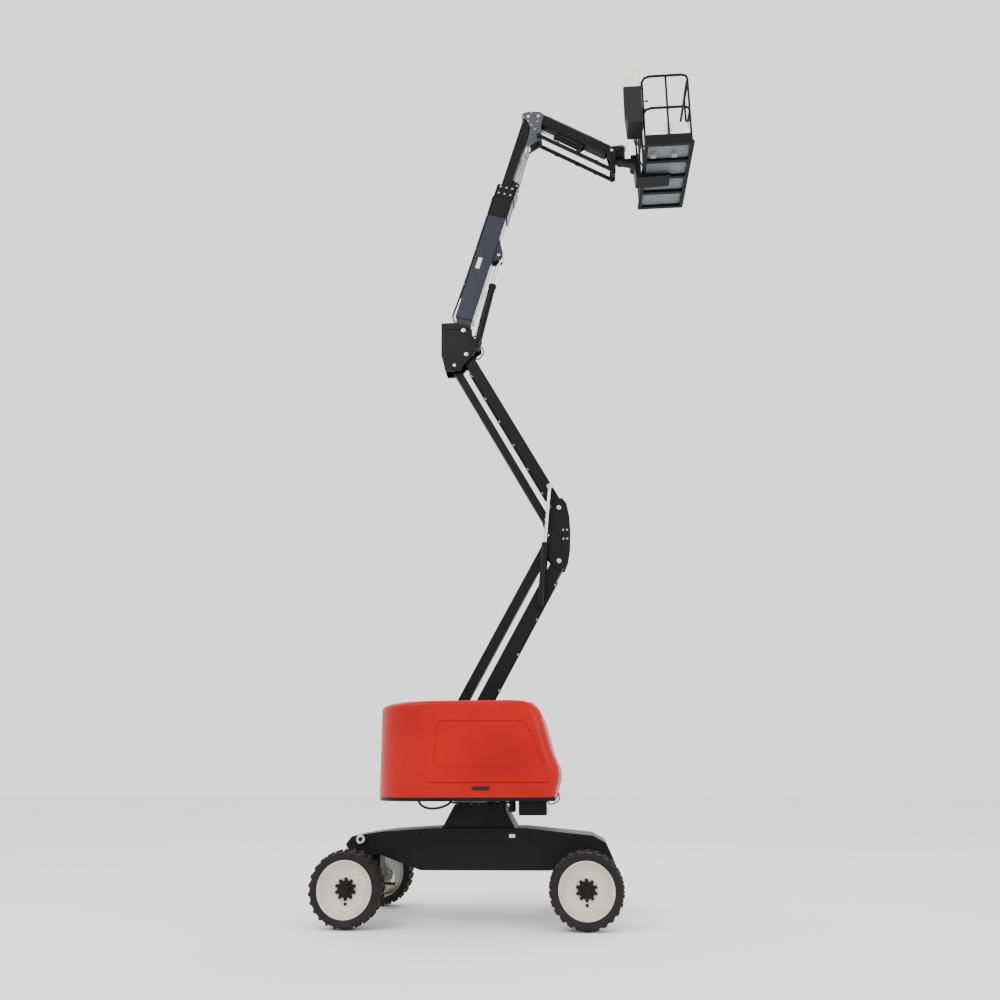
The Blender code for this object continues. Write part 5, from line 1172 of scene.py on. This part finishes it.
# ---------------------------------------------------------------- cage
class LIFT_OT_cage(bpy.types.Operator):
    """Finish the platform, its mesh deck, rails, kick panel and gate"""
    bl_idname = "lift.cage"
    bl_label = "Cage"

    def execute(self, context):
        sizes = context.scene.lift.cage
        dressed(BLACK, 0.004, "platform_support", "platform_frame")
        dressed(BLACK, 0.002, "platform_rails", "gate")
        self.deck(sizes.bar_pitch)
        low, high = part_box("platform_rails")
        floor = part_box("platform_deck")[1].z
        y = low.y + 0.020
        kick = rect((low.x + 0.075, high.x - 0.075), (floor + 0.035, floor + 0.035 + sizes.kick_height))
        panel = slab(round_outline(kick, 0.03), y + 0.020, y + 0.026, 0.002)
        rib = [slab(rect((low.x + 0.12, high.x - 0.12), (z, z + 0.016)), y + 0.0145, y + 0.021, 0.003)
               for z in (floor + 0.10, floor + 0.17, floor + 0.24)]
        fitted("end_kick_panel", "platform", WHITE, panel, *rib)
        bolts("kick_panel_screws", "platform",
              [((x, y + 0.020, z), -Y) for x in (low.x + 0.10, high.x - 0.10)
               for z in (floor + 0.06, floor + 0.28)], 0.007, 0.004)
        grips = [turned([(0.0, 0.0192), (0.004, 0.0225), (y1 - y0 - 0.004, 0.0225), (y1 - y0, 0.0192)],
                        (high.x - 0.02, y0, floor + 1.10), Y, 20)
                 for y0, y1 in ((-0.62, -0.30), (0.30, 0.62))]
        fitted("hand_grips", "platform", GRIP, *grips)
        eyes = []
        x = high.x - 0.02
        for y in (-0.45, 0.45):
            shape = [(y - 0.03, floor + 0.52), (y + 0.03, floor + 0.52), (y + 0.022, floor + 0.45),
                     (y - 0.022, floor + 0.45)]
            plate = slab(round_outline(shape, 0.01), x - 0.004, x + 0.004, 0.001, "X")
            ring = turned([(-0.005, 0.022), (-0.005, 0.014), (0.005, 0.014), (0.005, 0.022),
                           (-0.005, 0.022)],
                          (x, y, floor + 0.455), X, 18)
            eyes += [plate, ring]
        fitted("lanyard_eyes", "platform", YELLOW, *eyes)
        pedal = block((high.x - 0.36, -0.12, floor + 0.0006),
                      (high.x - 0.18, 0.00, floor + 0.022), 0.006)
        shoe = slab([(high.x - x, floor + z) for x, z in ((0.35, 0.022), (0.19, 0.022), (0.19, 0.034),
                                                          (0.35, 0.052))], -0.105, -0.015, 0.004)
        guard = ((0.37, 0.001), (0.365, 0.001), (0.365, 0.10), (0.27, 0.125), (0.27, 0.130), (0.37, 0.105))
        hood = slab([(high.x - x, floor + z) for x, z in guard], -0.125, 0.005, 0.001)
        fitted("foot_switch", "platform", ABS, pedal, shoe)
        fitted("foot_switch_guard", "platform", YELLOW, hood)
        support_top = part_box("platform_support")[1].z
        ring = turned([(0.0, 0.075), (0.0, 0.088), (0.006, 0.092), (0.026, 0.092), (0.032, 0.088),
                       (0.032, 0.075),
                       (0.0, 0.075)], (pin("platform_turn").x, 0.0, support_top - 0.034), Z, 36)
        fitted("rotator_flange", "platform", STEEL, ring)
        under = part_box("platform_frame")[0].z
        plates = [block((low.x + 0.10 + i * 0.30, -0.55, under - 0.003),
                        (low.x + 0.18 + i * 0.30, -0.47, under + 0.002), 0.001) for i in range(2)]
        fitted("under_blank_plates", "platform", MESH, *plates)
        return {"FINISHED"}

    def deck(self, pitch):
        low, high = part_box("platform_deck")
        thick = high.z - low.z
        bar = block((low.x, low.y + 0.012, low.z), (high.x, low.y + 0.016, high.z), 0.0008, 1)
        count = int((high.y - low.y - 0.028) / pitch) + 1
        row_of("deck_bearing_bars", "platform", MESH, count, Y * pitch, bar)
        span = high.y - low.y - 0.002
        rod = turned([(0.0, 0.0), (0.0, 0.003), (span, 0.003), (span, 0.0)],
                     (low.x + 0.02, low.y + 0.001, high.z - 0.0035), Y, 6)
        count = int((high.x - low.x - 0.03) / 0.05) + 1
        row_of("deck_cross_rods", "platform", MESH, count, X * 0.05, rod)
        rim = [block((low.x, low.y, low.z), (low.x + 0.006, high.y, high.z), 0.001),
               block((high.x - 0.006, low.y, low.z), (high.x, high.y, high.z), 0.001),
               block((low.x, low.y, low.z), (high.x, low.y + 0.006, high.z), 0.001),
               block((low.x, high.y - 0.006, low.z), (high.x, high.y, high.z), 0.001)]
        sheet = block((low.x + 0.006, low.y + 0.006, low.z + thick * 0.2),
                      (high.x - 0.006, high.y - 0.006, low.z + thick * 0.25), 0.0005, 1)
        fitted("deck_rim", "platform", MESH, *rim, sheet, replaces=("platform_deck",))


class LIFT_OT_console(bpy.types.Operator):
    """Finish the control box: its cover, sticks, switches, stop button and cable"""
    bl_idname = "lift.console"
    bl_label = "Control box"

    def execute(self, context):
        dressed(ABS, 0.014, "console_box", segments=3)
        dressed(WHITE, 0.020, "console_cover", segments=4)
        low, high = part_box("console_box")
        x = high.x
        panel = round_outline(rect((low.y + 0.03, high.y - 0.03), (low.z + 0.27, high.z - 0.04)), 0.02)
        fitted("control_panel", "platform", PLATE, slab(panel, x - 0.001, x + 0.005, 0.0015, "X"))
        sticks, boots = [], []
        for y in (low.y + 0.10, high.y - 0.10):
            at = (x + 0.004, y, low.z + 0.42)
            boots.append(turned([(0.0, 0.030), (0.003, 0.031), (0.007, 0.026), (0.010, 0.027),
                                 (0.014, 0.021),
                                 (0.017, 0.022), (0.021, 0.014), (0.023, 0.0)], at, X, 22))
            sticks.append(turned([(0.015, 0.006), (0.050, 0.006), (0.055, 0.013), (0.080, 0.016),
                                  (0.092, 0.012), (0.096, 0.0)], at, (1.0, 0.0, 0.12), 18))
        fitted("stick_boots", "platform", GRIP, *boots)
        fitted("control_sticks", "platform", ABS, *sticks)
        stop = turned([(0.0, 0.013), (0.014, 0.013), (0.016, 0.020), (0.020, 0.022), (0.026, 0.021),
                       (0.030, 0.012),
                       (0.031, 0.0)], (x + 0.004, (low.y + high.y) / 2, low.z + 0.50), X, 26)
        fitted("stop_button", "platform", RED, stop)
        at = (x + 0.004, low.y + 0.075, low.z + 0.33)
        row_of("toggle_switches", "platform", ZINC, 7, Y * 0.038,
               turned([(0.0, 0.009), (0.004, 0.009), (0.005, 0.006), (0.005, 0.0)], at, X, 8),
               turned([(0.003, 0.0025), (0.018, 0.0035), (0.021, 0.002), (0.0215, 0.0)], at,
                      (1.0, 0.0, 0.35), 8))
        spots = [((low.x + 0.052, y, low.z + 0.04), -X) for y in (low.y + 0.03, high.y - 0.03)]
        bolts("console_bolts", "platform", spots, 0.007, 0.005)
        path = ((0.14, -0.06, 0.004), (0.15, -0.055, -0.07), (0.18, -0.03, -0.18), (0.20, 0.04, -0.27),
                (0.26, 0.14, -0.33), (0.30, 0.20, -0.40))
        hose("console_cable", "platform", [(low.x + dx, high.y + dy, low.z + dz) for dx, dy, dz in path],
             0.010)
        return {"FINISHED"}


# ---------------------------------------------------------------- run
OPERATORS = (LIFT_OT_stage, LIFT_OT_wheels, LIFT_OT_chassis, LIFT_OT_turntable, LIFT_OT_hoods,
             LIFT_OT_riser, LIFT_OT_boom, LIFT_OT_jib, LIFT_OT_cage, LIFT_OT_console)


class LIFT_PT_panel(bpy.types.Panel):
    """Sidebar list of the finish's groups"""
    bl_idname = "LIFT_PT_panel"
    bl_label = "Boom lift"
    bl_space_type = "VIEW_3D"
    bl_region_type = "UI"
    bl_category = "Boom lift"

    def draw(self, context):
        for operator in OPERATORS:
            self.layout.operator(operator.bl_idname)


CLASSES = (LiftColours, WheelSizes, HoodSizes, HoseSizes, CageSizes, StudioSettings, LiftSettings,
           *OPERATORS, LIFT_PT_panel)


def register():
    for item in CLASSES:
        bpy.utils.register_class(item)
    bpy.types.Scene.lift = bpy.props.PointerProperty(type=LiftSettings)


def unregister():
    del bpy.types.Scene.lift
    for item in reversed(CLASSES):
        bpy.utils.unregister_class(item)


def main():
    register()
    make_materials(bpy.context.scene.lift.colours)
    for operator in OPERATORS:
        family, action = operator.bl_idname.split(".")
        getattr(getattr(bpy.ops, family), action)()


if __name__ == "__main__":
    main()
